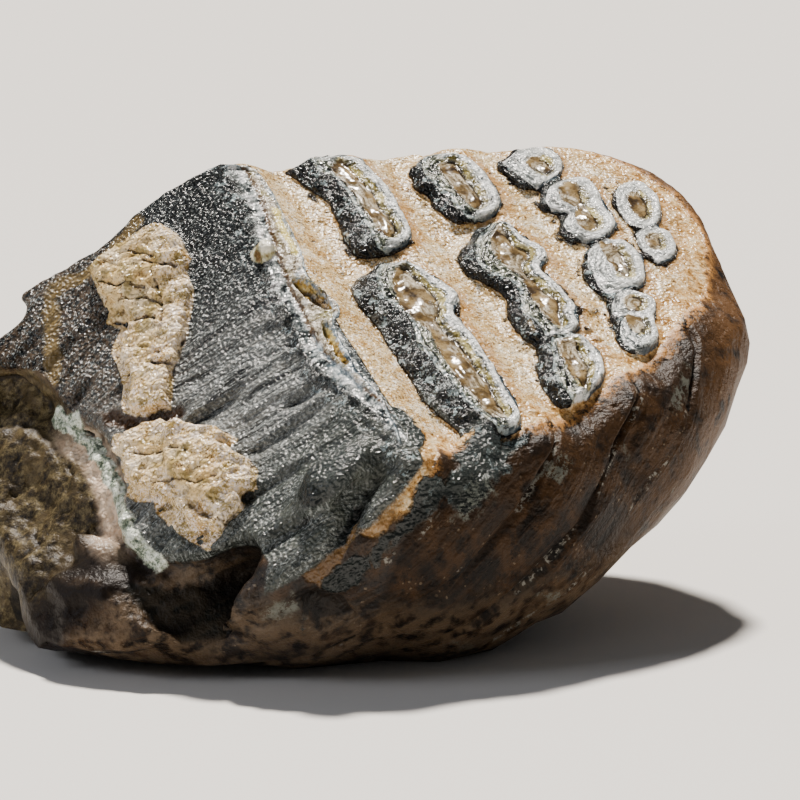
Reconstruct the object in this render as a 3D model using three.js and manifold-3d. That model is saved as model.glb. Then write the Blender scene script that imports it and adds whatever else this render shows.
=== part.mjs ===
// A heavy fragment of a mammoth molar, lying on its broken root side as it rests on a table.
// The whole fragment is one solid: a cement block cut by the worn chewing surface on top and by
// the bare front of the first enamel plate, with the worn loops of the plates standing on it.
// Millimetres, +X along the tooth to its rounded back end, -Y the near side, +Z up.

import * as THREE from "three";
import { mergeVertices } from "three/addons/utils/BufferGeometryUtils.js";
import Module from "manifold-3d";

const wasm = await Module();
wasm.setup();

// Driving dimensions of the resting fragment
const backTipX = 87; // rounded back end of the block
const brokenEndX = -80; // rough break at the front end
const chewingHeight = 62; // tooth origin, on the chewing surface, over the table
const restRoll = 29.9; // degrees that the chewing surface leans to the near side
const restPitch = 1.7; // degrees that the back end is tilted up
const plateDip = 35; // degrees between the plates and the chewing surface
const columnDepth = 14; // how far an enamel loop reaches down into the cement
const basinDepth = 1; // worn dentine below the enamel rim
const outlineSteps = 1.7; // straight steps for each point of a rounded outline

// Tooth frame: x along the tooth, y across it to the far side, z square to the chewing surface.
const toothFrame = new THREE.Matrix4()
  .makeTranslation(0, 0, chewingHeight)
  .multiply(new THREE.Matrix4().makeRotationY(THREE.MathUtils.degToRad(-restPitch)))
  .multiply(new THREE.Matrix4().makeRotationX(THREE.MathUtils.degToRad(restRoll)));

// Front frame: x up the bare front of the first plate to its worn edge, z square to that face.
const frontEdgeX = -19.5;
const frontFrame = toothFrame
  .clone()
  .multiply(new THREE.Matrix4().makeTranslation(frontEdgeX, 0, 0))
  .multiply(new THREE.Matrix4().makeRotationY(THREE.MathUtils.degToRad(-plateDip)));

// Solids and their joins
function toSolid(geometry) {
  const bare = geometry.clone();
  bare.deleteAttribute("normal");
  bare.deleteAttribute("uv");
  const merged = mergeVertices(bare, 1e-4);
  return new wasm.Manifold(
    new wasm.Mesh({
      numProp: 3,
      vertProperties: new Float32Array(merged.attributes.position.array),
      triVerts: new Uint32Array(merged.index.array),
    }),
  );
}

function toGeometry(solid) {
  const mesh = solid.getMesh();
  const geometry = new THREE.BufferGeometry();
  geometry.setAttribute("position", new THREE.BufferAttribute(mesh.vertProperties, mesh.numProp));
  geometry.setIndex(new THREE.BufferAttribute(mesh.triVerts, 1));
  return geometry;
}

function closedOutline(points, steps) {
  const curve = new THREE.CatmullRomCurve3(
    points.map(([x, y]) => new THREE.Vector3(x, y, 0)),
    true,
    "centripetal",
  );
  return curve.getPoints(steps).slice(0, -1).map((p) => new THREE.Vector2(p.x, p.y));
}

function slab(outline, depth) {
  return new THREE.ExtrudeGeometry(new THREE.Shape(outline), { depth, bevelEnabled: false, steps: 1 });
}

// The block: a section across the resting fragment, carried along X and tapered to the back tip.
// The section starts at the near rim and runs down the near side, along the base and up the far side.
const sectionCentre = { y: 30, z: 64 };
const sectionPoints = [
  [-24, 54], [-30, 40], [-32, 26], [-28, 12], [-17, 2], [4, -3], [30, -4], [52, 0], [64, 14],
  [70.5, 36], [65.5, 62], [62.5, 84], [52, 99], [14, 77],
];
const blockSection = new THREE.CatmullRomCurve3(
  sectionPoints.map(([y, z]) => new THREE.Vector3(0, y, z)),
  true,
  "centripetal",
);

function taper(x, start, roundness) {
  const reach = Math.min(Math.max((x - start) / (backTipX - start), 0), 1);
  return Math.pow(1 - Math.pow(reach, roundness), 1 / roundness);
}

function blockPoint(x, turn, spoke = 1) {
  const p = blockSection.getPoint((turn + 1) % 1);
  const lump = 1 + 0.012 * Math.sin(x / 9 + 5 * turn) + 0.01 * Math.sin(x / 5 - 14 * turn);
  const dy = (p.y - sectionCentre.y) * spoke * lump;
  const dz = (p.z - sectionCentre.z) * spoke * lump;
  const front = THREE.MathUtils.smoothstep(-x, 20, 84);
  const near = taper(x, -16, 2) * (1 - 0.36 * front);
  const far = taper(x, 36, 2.2);
  const under = taper(x, 8, 1.4) * (1 - 0.1 * front);
  const upper = taper(x, 70, 3.6);
  const y = sectionCentre.y + dy * (dy < 0 ? near : far);
  const z = sectionCentre.z + dz * (dz < 0 ? under : upper);
  return new THREE.Vector3(x, y, z);
}

function blockGeometry() {
  const geometry = new THREE.CylinderGeometry(1, 1, 1, 42, 28);
  const position = geometry.attributes.position;
  for (let i = 0; i < position.count; i++) {
    const spoke = Math.hypot(position.getX(i), position.getZ(i));
    const turn = Math.atan2(-position.getZ(i), position.getX(i)) / (2 * Math.PI);
    const x = THREE.MathUtils.lerp(brokenEndX, backTipX, Math.pow(position.getY(i) + 0.5, 0.9));
    const p = blockPoint(x, turn, spoke);
    position.setXYZ(i, p.x, p.y, p.z);
  }
  return geometry;
}

// The chewing surface: cement worn in steps, high behind each plate and low in front of the next.
function chewingCutter() {
  const profile = [
    [-40, 0], [-14, -0.6], [-6.5, -4.2], [-2, -3.8], [11, -0.8], [20, -3.6], [24, -3.2], [37, -0.8],
    [45, -2.4], [49, -2], [60, -1], [70, -1.6], [80, -2.4], [87, -5], [95, -14], [95, 60],
    [-40, 60],
  ].map(([x, z]) => new THREE.Vector2(x, z));
  const width = 220;
  const geometry = slab(profile, width);
  geometry.rotateX(Math.PI / 2);
  geometry.translate(0, width / 2, 0);
  return geometry.applyMatrix4(toothFrame);
}

// A thick cutter whose underside is shaped by a height over the front frame's x and y.
function sheetCutter({ fromX, toX, fromY, toY, cellsX, cellsY }, heightAt) {
  const height = 70;
  const geometry = new THREE.BoxGeometry(toX - fromX, toY - fromY, height, cellsX, cellsY, 1);
  geometry.translate((fromX + toX) / 2, (fromY + toY) / 2, height / 2);
  const position = geometry.attributes.position;
  for (let i = 0; i < position.count; i++) {
    if (position.getZ(i) < 1) position.setZ(i, heightAt(position.getX(i), position.getY(i)));
  }
  return toSolid(geometry.applyMatrix4(frontFrame));
}

// The bare front of the first plate: ribs run down it, and bend to the near side at its foot.
function ribHeight(x, y) {
  const across = (y + 0.8 * Math.max(-32 - x, 0)) * 2 * Math.PI;
  const strength = THREE.MathUtils.smoothstep(-y, -42, -5) * THREE.MathUtils.smoothstep(-x, 2, 12);
  return (0.6 * Math.cos(across / 6) + 0.4 * Math.cos(across / 9.4)) * (0.25 + 0.75 * strength);
}

// Below the first plate's broken shell the core is exposed, rough and lower than the front.
function coreHeight(x, y) {
  return -3.6 + 1.1 * Math.sin(x / 3.1 + y / 7) + 0.9 * Math.sin(y / 4.3 - x / 9) + (x + 50) * 0.06;
}

// Enamel loops on the chewing surface: outer outline, then the worn dentine basins inside it.
const loops = [
  {
    name: "plate two far loop",
    outline: [
      [0.5, 64], [1.8, 57.5], [3.4, 52], [3, 43], [2.4, 33], [4.5, 30.3], [8.5, 31.2], [12.3, 35.5],
      [13.7, 46], [13.3, 55], [11.2, 64],
    ],
    basins: [
      [
        [5, 60], [5.6, 49], [5.5, 38], [7.6, 34.8], [9.2, 40], [9.3, 50], [7.6, 60],
      ],
    ],
  },
  {
    name: "plate two near loop",
    outline: [
      [2, 26.3], [-1.5, 24], [-3.5, 18.5], [-3, 14.5], [-1.2, 8.5], [-2.2, 0], [-2, -8],
      [-0.9, -18], [1.8, -26], [5, -28.7], [9, -25], [9.8, -12], [9.8, 2], [10, 9], [13, 13.5],
      [9.5, 21.5], [6, 26],
    ],
    basins: [
      [
        [5, 23.5], [1.4, 19.5], [-0.2, 12.5], [1.7, 3], [1.1, -9], [2.6, -23], [5.8, -23.5],
        [6.4, -8], [4.8, 5], [7.6, 12.5], [6.4, 19],
      ],
    ],
  },
  {
    name: "plate three far loop",
    outline: [
      [28.4, 61.7], [33, 61.2], [37, 58], [38.2, 51], [36.9, 43], [32.5, 38.2], [27.5, 38.2],
      [25.6, 43.5], [24.4, 49], [23.8, 56],
    ],
    basins: [
      [
        [30.5, 57.5], [28.4, 50], [29.5, 42], [32.5, 43], [32.8, 51],
      ],
    ],
  },
  {
    name: "plate three middle loop",
    outline: [
      [31.2, 35.9], [25.2, 31.1], [22.3, 27], [22.2, 22], [25.5, 16.7], [26.5, 12.5], [24, 5.5],
      [25.3, -2.2], [31, -2.2], [34.8, 0], [36.6, 7], [35.8, 14.5], [34.8, 19], [38.7, 23.5],
      [36.2, 29], [34.5, 35.5],
    ],
    basins: [
      [
        [32, 33.5], [27.8, 27], [28, 20], [30.8, 17.5], [34.4, 24], [33, 29],
      ],
      [
        [30.2, 14.5], [28.8, 6], [30.2, 0.6], [33, 7], [32, 13],
      ],
    ],
  },
  {
    name: "plate three near loop",
    outline: [
      [26.2, -3.2], [31, -2.3], [34.4, -7], [34, -13], [30, -18.5], [24.5, -22], [22, -23],
      [20.9, -17], [22.5, -11], [25, -5.7],
    ],
    basins: [
      [
        [28.5, -5], [26.3, -11], [25.8, -18], [28.4, -16.2], [30.6, -7.5],
      ],
    ],
  },
  {
    name: "plate four far loop",
    outline: [
      [43.3, 56.4], [47, 58.8], [52, 61.5], [57, 60.3], [58.2, 56], [55.5, 50.5], [50.7, 47.9],
      [47, 47], [44.8, 51.5],
    ],
    basins: [
      [
        [49.7, 54.5], [52, 56.5], [54.2, 54], [51.6, 51],
      ],
    ],
  },
  {
    name: "plate four middle loop",
    outline: [
      [49.5, 45.6], [53, 48], [58.6, 49.7], [61.3, 46.5], [60.3, 39], [59.8, 32], [56, 27.8],
      [50, 26.8], [47, 31], [49.5, 36.8], [47, 40.5],
    ],
    basins: [
      [
        [52.4, 45], [55.6, 46.2], [55.6, 40.5], [52, 39.6],
      ],
      [
        [51.5, 33], [52.6, 30.3], [55.3, 32.5], [54.2, 36.8],
      ],
    ],
  },
  {
    name: "plate four near loop",
    outline: [
      [47.2, 21.3], [51.5, 25.7], [57, 26.6], [59.6, 22], [58.3, 15.5], [55, 10.2], [49, 8.8],
      [45.3, 11], [45.2, 16.5],
    ],
    basins: [
      [
        [53, 24.6], [51.9, 19], [52.4, 13.6], [54.9, 16.5], [55.2, 21.5],
      ],
    ],
  },
  {
    name: "plate four double ring",
    outline: [
      [46.9, 7.8], [51.4, 9.4], [55, 7], [55, 3.5], [52.2, -1], [51, -5.5], [47.4, -9.2], [43, -10],
      [41.3, -6], [43.5, -1], [44.3, 3],
    ],
    basins: [
      [
        [48.3, 4.5], [50, 6.9], [52, 5], [49.8, 3],
      ],
      [
        [46.2, 0.2], [48.8, -1.6], [47.6, -4.5], [45.6, -3.2],
      ],
    ],
  },
  {
    name: "plate five far ring",
    outline: [
      [63, 38.5], [65.5, 43.3], [71, 46.6], [74.3, 43.5], [73.5, 36.5], [69.5, 30.2], [65, 29],
      [62.4, 32.5],
    ],
    basins: [
      [
        [67.2, 39.8], [69.8, 40.2], [69, 35], [66.4, 33],
      ],
    ],
  },
  {
    name: "plate five near ring",
    outline: [
      [61.5, 25.5], [64.8, 28.9], [69, 29], [70.7, 25], [68.5, 20], [65, 17.5], [61.8, 17.5],
    ],
    basins: [
      [
        [64.2, 25.6], [66.3, 26.6], [66.4, 23.2], [64, 21.8], [63.4, 23.5],
      ],
    ],
  },
];

// A column leans back along the plates as it goes down from the chewing surface.
function leaningColumn(points, stepsPerPoint, bottom, top) {
  const steps = Math.round(points.length * stepsPerPoint);
  const geometry = slab(closedOutline(points, steps), top - bottom);
  geometry.translate(0, 0, bottom);
  const lean = 1 / Math.tan(THREE.MathUtils.degToRad(plateDip));
  geometry.applyMatrix4(new THREE.Matrix4().makeShear(0, 0, 0, 0, lean, 0));
  return toSolid(geometry.applyMatrix4(toothFrame));
}

// The first plate: its worn band runs the full width, and its near end is a bare rounded column.
const firstPlateBand = [
  [-24, 64], [-13, 62], [-12, 52], [-13.5, 42], [-15, 32], [-16.5, 26], [-14, 16], [-15, 10.5],
  [-17.5, 8], [-18.5, -4], [-17.5, -14], [-18, -24], [-20, -31], [-25, -34], [-31, -31], [-34, -20],
  [-34, 40], [-31, 60],
];
const firstPlateGroove = [
  [-18, 60], [-16.5, 50], [-17.5, 38], [-19, 28], [-17, 16], [-18.5, 10], [-20.5, 2], [-21, -10],
  [-21.5, -22], [-23.5, -22], [-23.5, -5], [-23, 10], [-22, 26], [-20.5, 45], [-20, 60],
];

// Broken cement that still clings to the bare front, as outlines in the front frame.
const clingingCement = [
  {
    thickness: 3.4,
    outline: [
      [-16, 57], [-14.5, 48], [-15.5, 42], [-20, 34], [-25, 25], [-30, 19], [-32, 12], [-38, 12.5],
      [-43, 15.5], [-39, 22], [-38, 33], [-33, 37], [-34.5, 46], [-38, 55], [-28, 58],
    ],
  },
  {
    thickness: 4,
    outline: [
      [-46, 11], [-38, 9.5], [-32, 4], [-27, -3], [-24.5, -10], [-25.5, -18], [-30, -22],
      [-37, -25], [-42, -20], [-45, -9], [-48.5, -4], [-48.5, 5],
    ],
  },
];
const cementLedges = [
  {
    bottom: 2,
    thickness: 5.2,
    outline: [[-17, 56], [-15.5, 49], [-19, 43], [-27, 42], [-31, 47], [-27, 56]],
  },
  {
    bottom: 2,
    thickness: 6,
    outline: [[-30, 6], [-28, -6], [-29, -15], [-37, -18], [-41, -8], [-38, 4]],
  },
];

// Broken hollows: the shell of the first plate is gone at its foot, and cement is lost between plates.
const footBreak = [
  [-53, 26], [-50, 18], [-49.5, 11], [-50, 3], [-52.5, -4], [-55, -10], [-53, -16], [-50, -21],
  [-45, -25], [-38, -28], [-34, -31], [-36, -40], [-60, -44], [-110, -40], [-110, 75], [-60, 48],
];
const footHollow = [
  [-60, -20], [-53, -24], [-45, -26], [-37, -27], [-33, -31], [-38, -36], [-48, -37], [-58, -32],
];

function onFront(points, stepsPerPoint, bottom, top) {
  const steps = Math.round(points.length * stepsPerPoint);
  const geometry = slab(closedOutline(points, steps), top - bottom);
  geometry.translate(0, 0, bottom);
  return toSolid(geometry.applyMatrix4(frontFrame));
}

// A rounded lump of broken cement or enamel between two points of the tooth frame.
function lump({ from, to, width, height }) {
  const start = new THREE.Vector3(...from);
  const end = new THREE.Vector3(...to);
  const along = end.clone().sub(start);
  const geometry = new THREE.IcosahedronGeometry(1, 1);
  const position = geometry.attributes.position;
  for (let i = 0; i < position.count; i++) {
    const p = new THREE.Vector3().fromBufferAttribute(position, i);
    const swell = 1 + 0.08 * Math.sin(4 * p.x + start.x) + 0.08 * Math.sin(5 * p.y + 3 * p.z + start.y);
    position.setXYZ(i, p.x * swell, p.y * swell, p.z * swell);
  }
  geometry.scale(along.length() / 2 + Math.min(width, height) / 2, width / 2, height / 2);
  const turn = new THREE.Quaternion().setFromUnitVectors(new THREE.Vector3(1, 0, 0), along.normalize());
  geometry.applyQuaternion(turn);
  geometry.translate((start.x + end.x) / 2, (start.y + end.y) / 2, (start.z + end.z) / 2);
  return toSolid(geometry.applyMatrix4(toothFrame));
}

// Added on the near side: the bare end of the first plate, the end of the second, the cement
// ledge between them, and the root base along the foot of the block.
const sideLumps = [
  { name: "first plate end", from: [-24, -25, -6], to: [-37, -30, -15], width: 17, height: 11 },
  { name: "second plate end", from: [3, -26, -6], to: [-9, -34, -13], width: 14, height: 13 },
  { name: "upper ledge", from: [-15, -22, -4], to: [-16, -28, -5], width: 10, height: 9 },
  { name: "middle ledge", from: [-21, -33, -8], to: [-27, -38, -12], width: 7, height: 6 },
  { name: "lower ledge", from: [-33, -38, -18], to: [-37, -39, -21], width: 9, height: 8 },
  { name: "root base", from: [-72, -13, -46], to: [-40, -32, -40], width: 24, height: 20 },
  { name: "root base end", from: [-70, -6, -38], to: [-64, -14, -38], width: 10, height: 7 },
];

// Broken out: the pocket behind the ledge, the cave below it and bites in the broken front end.
const sideHollows = [
  { name: "ledge pocket", from: [-16, -21, 0], to: [-12, -24, -1], width: 6, height: 7 },
  { name: "gap behind plate one", from: [-22, -30, 0], to: [-38, -42, -17], width: 8, height: 4.5 },
  { name: "cave", from: [-38, -42, -25], to: [-34, -47, -28], width: 9, height: 8 },
  { name: "upper bite", from: [-90, 40, -40], to: [-86, 20, -48], width: 14, height: 18 },
  { name: "middle bite", from: [-88, 12, -56], to: [-84, -4, -60], width: 18, height: 14 },
  { name: "lower bite", from: [-88, 40, -80], to: [-84, 20, -76], width: 20, height: 16 },
];

// Edges of the buried plates show as grooves that run down the sides along the plates' lean.
const plateEdges = [
  { rimX: 8, turns: [0.005, 0.05, 0.1, 0.15, 0.2, 0.25] },
  { rimX: 29, turns: [0.005, 0.05, 0.1, 0.15, 0.2, 0.25] },
  { rimX: 50, turns: [0.005, 0.05, 0.1, 0.15, 0.2, 0.25] },
  { rimX: 64, turns: [0.005, 0.05, 0.1, 0.15, 0.2, 0.25] },
  { rimX: -12, turns: [0.85, 0.8, 0.75, 0.7, 0.65, 0.6] },
  { rimX: 12, turns: [0.85, 0.8, 0.75, 0.7, 0.65, 0.6] },
  { rimX: 37, turns: [0.85, 0.8, 0.75, 0.7, 0.65, 0.6] },
  { rimX: 58, turns: [0.85, 0.8, 0.75, 0.7, 0.65, 0.6] },
];

function plateEdgeGroove({ rimX, turns }) {
  const rimZ = blockSection.getPoint(turns[0]).z;
  const points = turns.map((turn) => {
    const drop = rimZ - blockSection.getPoint(turn).z;
    return blockPoint(rimX - drop / Math.tan(THREE.MathUtils.degToRad(plateDip + 2)), turn);
  });
  const width = 2.6;
  const depth = 1.3;
  const section = new THREE.Shape([
    new THREE.Vector2(-depth, 0),
    new THREE.Vector2(0, -width / 2),
    new THREE.Vector2(depth, 0),
    new THREE.Vector2(0, width / 2),
  ]);
  const extrudePath = new THREE.CatmullRomCurve3(points);
  return toSolid(new THREE.ExtrudeGeometry(section, { extrudePath, steps: 7, bevelEnabled: false }));
}

function tableCutter() {
  const geometry = new THREE.BoxGeometry(400, 400, 60);
  geometry.translate(0, 0, -30);
  return toSolid(geometry);
}

let fragment = toSolid(blockGeometry()).subtract(toSolid(chewingCutter()));
fragment = fragment
  .add(leaningColumn(firstPlateBand, outlineSteps, -30, 0))
  .subtract(sheetCutter({ fromX: -78, toX: 4, fromY: -52, toY: 80, cellsX: 9, cellsY: 60 }, ribHeight));
fragment = fragment.subtract(leaningColumn(firstPlateGroove, outlineSteps, -basinDepth, 6));

for (const loop of loops) {
  fragment = fragment.add(leaningColumn(loop.outline, outlineSteps, -columnDepth, 0));
}
for (const loop of loops) {
  for (const basin of loop.basins) {
    fragment = fragment.subtract(leaningColumn(basin, outlineSteps, -basinDepth, 6));
  }
}

const coreCutter = sheetCutter(
  { fromX: -100, toX: -30, fromY: -50, toY: 80, cellsX: 13, cellsY: 22 },
  coreHeight,
);
fragment = fragment.subtract(coreCutter.intersect(onFront(footBreak, 2.2, -12, 60)));
fragment = fragment.subtract(onFront(footHollow, 2.2, -14, 30));
for (const cement of clingingCement) {
  fragment = fragment.add(onFront(cement.outline, 2.2, -3, cement.thickness));
}
for (const ledge of cementLedges) {
  fragment = fragment.add(onFront(ledge.outline, 2.2, ledge.bottom, ledge.thickness));
}
for (const hollow of sideHollows) {
  fragment = fragment.subtract(lump(hollow));
}
for (const shape of sideLumps) {
  fragment = fragment.add(lump(shape));
}
for (const edge of plateEdges) {
  fragment = fragment.subtract(plateEdgeGroove(edge));
}
fragment = fragment.subtract(tableCutter());

const geometry = toGeometry(fragment);
geometry.computeBoundingBox();
const box = geometry.boundingBox;
geometry.translate(-(box.min.x + box.max.x) / 2, -(box.min.y + box.max.y) / 2, -box.min.z);
geometry.computeVertexNormals();

const molar = new THREE.Mesh(
  geometry,
  new THREE.MeshStandardMaterial({ color: 0x8a6b4c, roughness: 0.45, metalness: 0 }),
);
molar.name = "molar_fragment";

const part = new THREE.Group();
part.add(molar);

export default part;
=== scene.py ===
import math

import bpy
import numpy as np
from mathutils import Matrix, Vector


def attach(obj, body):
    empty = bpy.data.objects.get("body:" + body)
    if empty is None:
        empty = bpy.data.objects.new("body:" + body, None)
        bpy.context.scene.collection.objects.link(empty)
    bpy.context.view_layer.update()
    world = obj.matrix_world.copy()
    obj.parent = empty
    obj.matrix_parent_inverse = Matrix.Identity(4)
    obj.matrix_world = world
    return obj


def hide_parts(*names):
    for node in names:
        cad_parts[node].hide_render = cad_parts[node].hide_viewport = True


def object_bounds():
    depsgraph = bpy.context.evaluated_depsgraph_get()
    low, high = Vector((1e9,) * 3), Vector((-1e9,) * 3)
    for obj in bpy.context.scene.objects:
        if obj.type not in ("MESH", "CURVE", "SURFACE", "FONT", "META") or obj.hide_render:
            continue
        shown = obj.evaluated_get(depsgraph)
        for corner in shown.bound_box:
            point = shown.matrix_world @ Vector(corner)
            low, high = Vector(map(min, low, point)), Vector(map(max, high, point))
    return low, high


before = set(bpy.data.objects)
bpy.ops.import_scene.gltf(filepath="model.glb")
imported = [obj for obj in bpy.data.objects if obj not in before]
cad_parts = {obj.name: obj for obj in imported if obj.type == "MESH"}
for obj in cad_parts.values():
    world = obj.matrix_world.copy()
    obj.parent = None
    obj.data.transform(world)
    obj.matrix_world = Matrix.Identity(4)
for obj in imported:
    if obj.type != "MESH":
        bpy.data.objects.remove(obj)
cadLow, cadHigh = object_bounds()
print("frame loaded, box", [round(v * 1000, 1) for v in cadHigh - cadLow], "mm")

metresPerMm = 0.001

# Sizes below are millimetres. The tooth frame has x along the tooth, y to the far side and z square to
# the worn chewing surface. The front frame has x up the bare front of plate one and z square to it.
tooth = {
    "origin": (-3.5, -19.567, 62.0),
    "roll": 29.9,
    "pitch": 1.7,
    "plateDip": 35.0,
    "frontEdge": -19.5,
}
toothMatrix = (
    Matrix.Translation(tooth["origin"])
    @ Matrix.Rotation(math.radians(-tooth["pitch"]), 4, "Y")
    @ Matrix.Rotation(math.radians(tooth["roll"]), 4, "X")
)
frontMatrix = (
    toothMatrix
    @ Matrix.Translation((tooth["frontEdge"], 0, 0))
    @ Matrix.Rotation(math.radians(-tooth["plateDip"]), 4, "Y")
)
lean = 1 / math.tan(math.radians(tooth["plateDip"]))  # plates run back under the chewing surface

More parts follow.
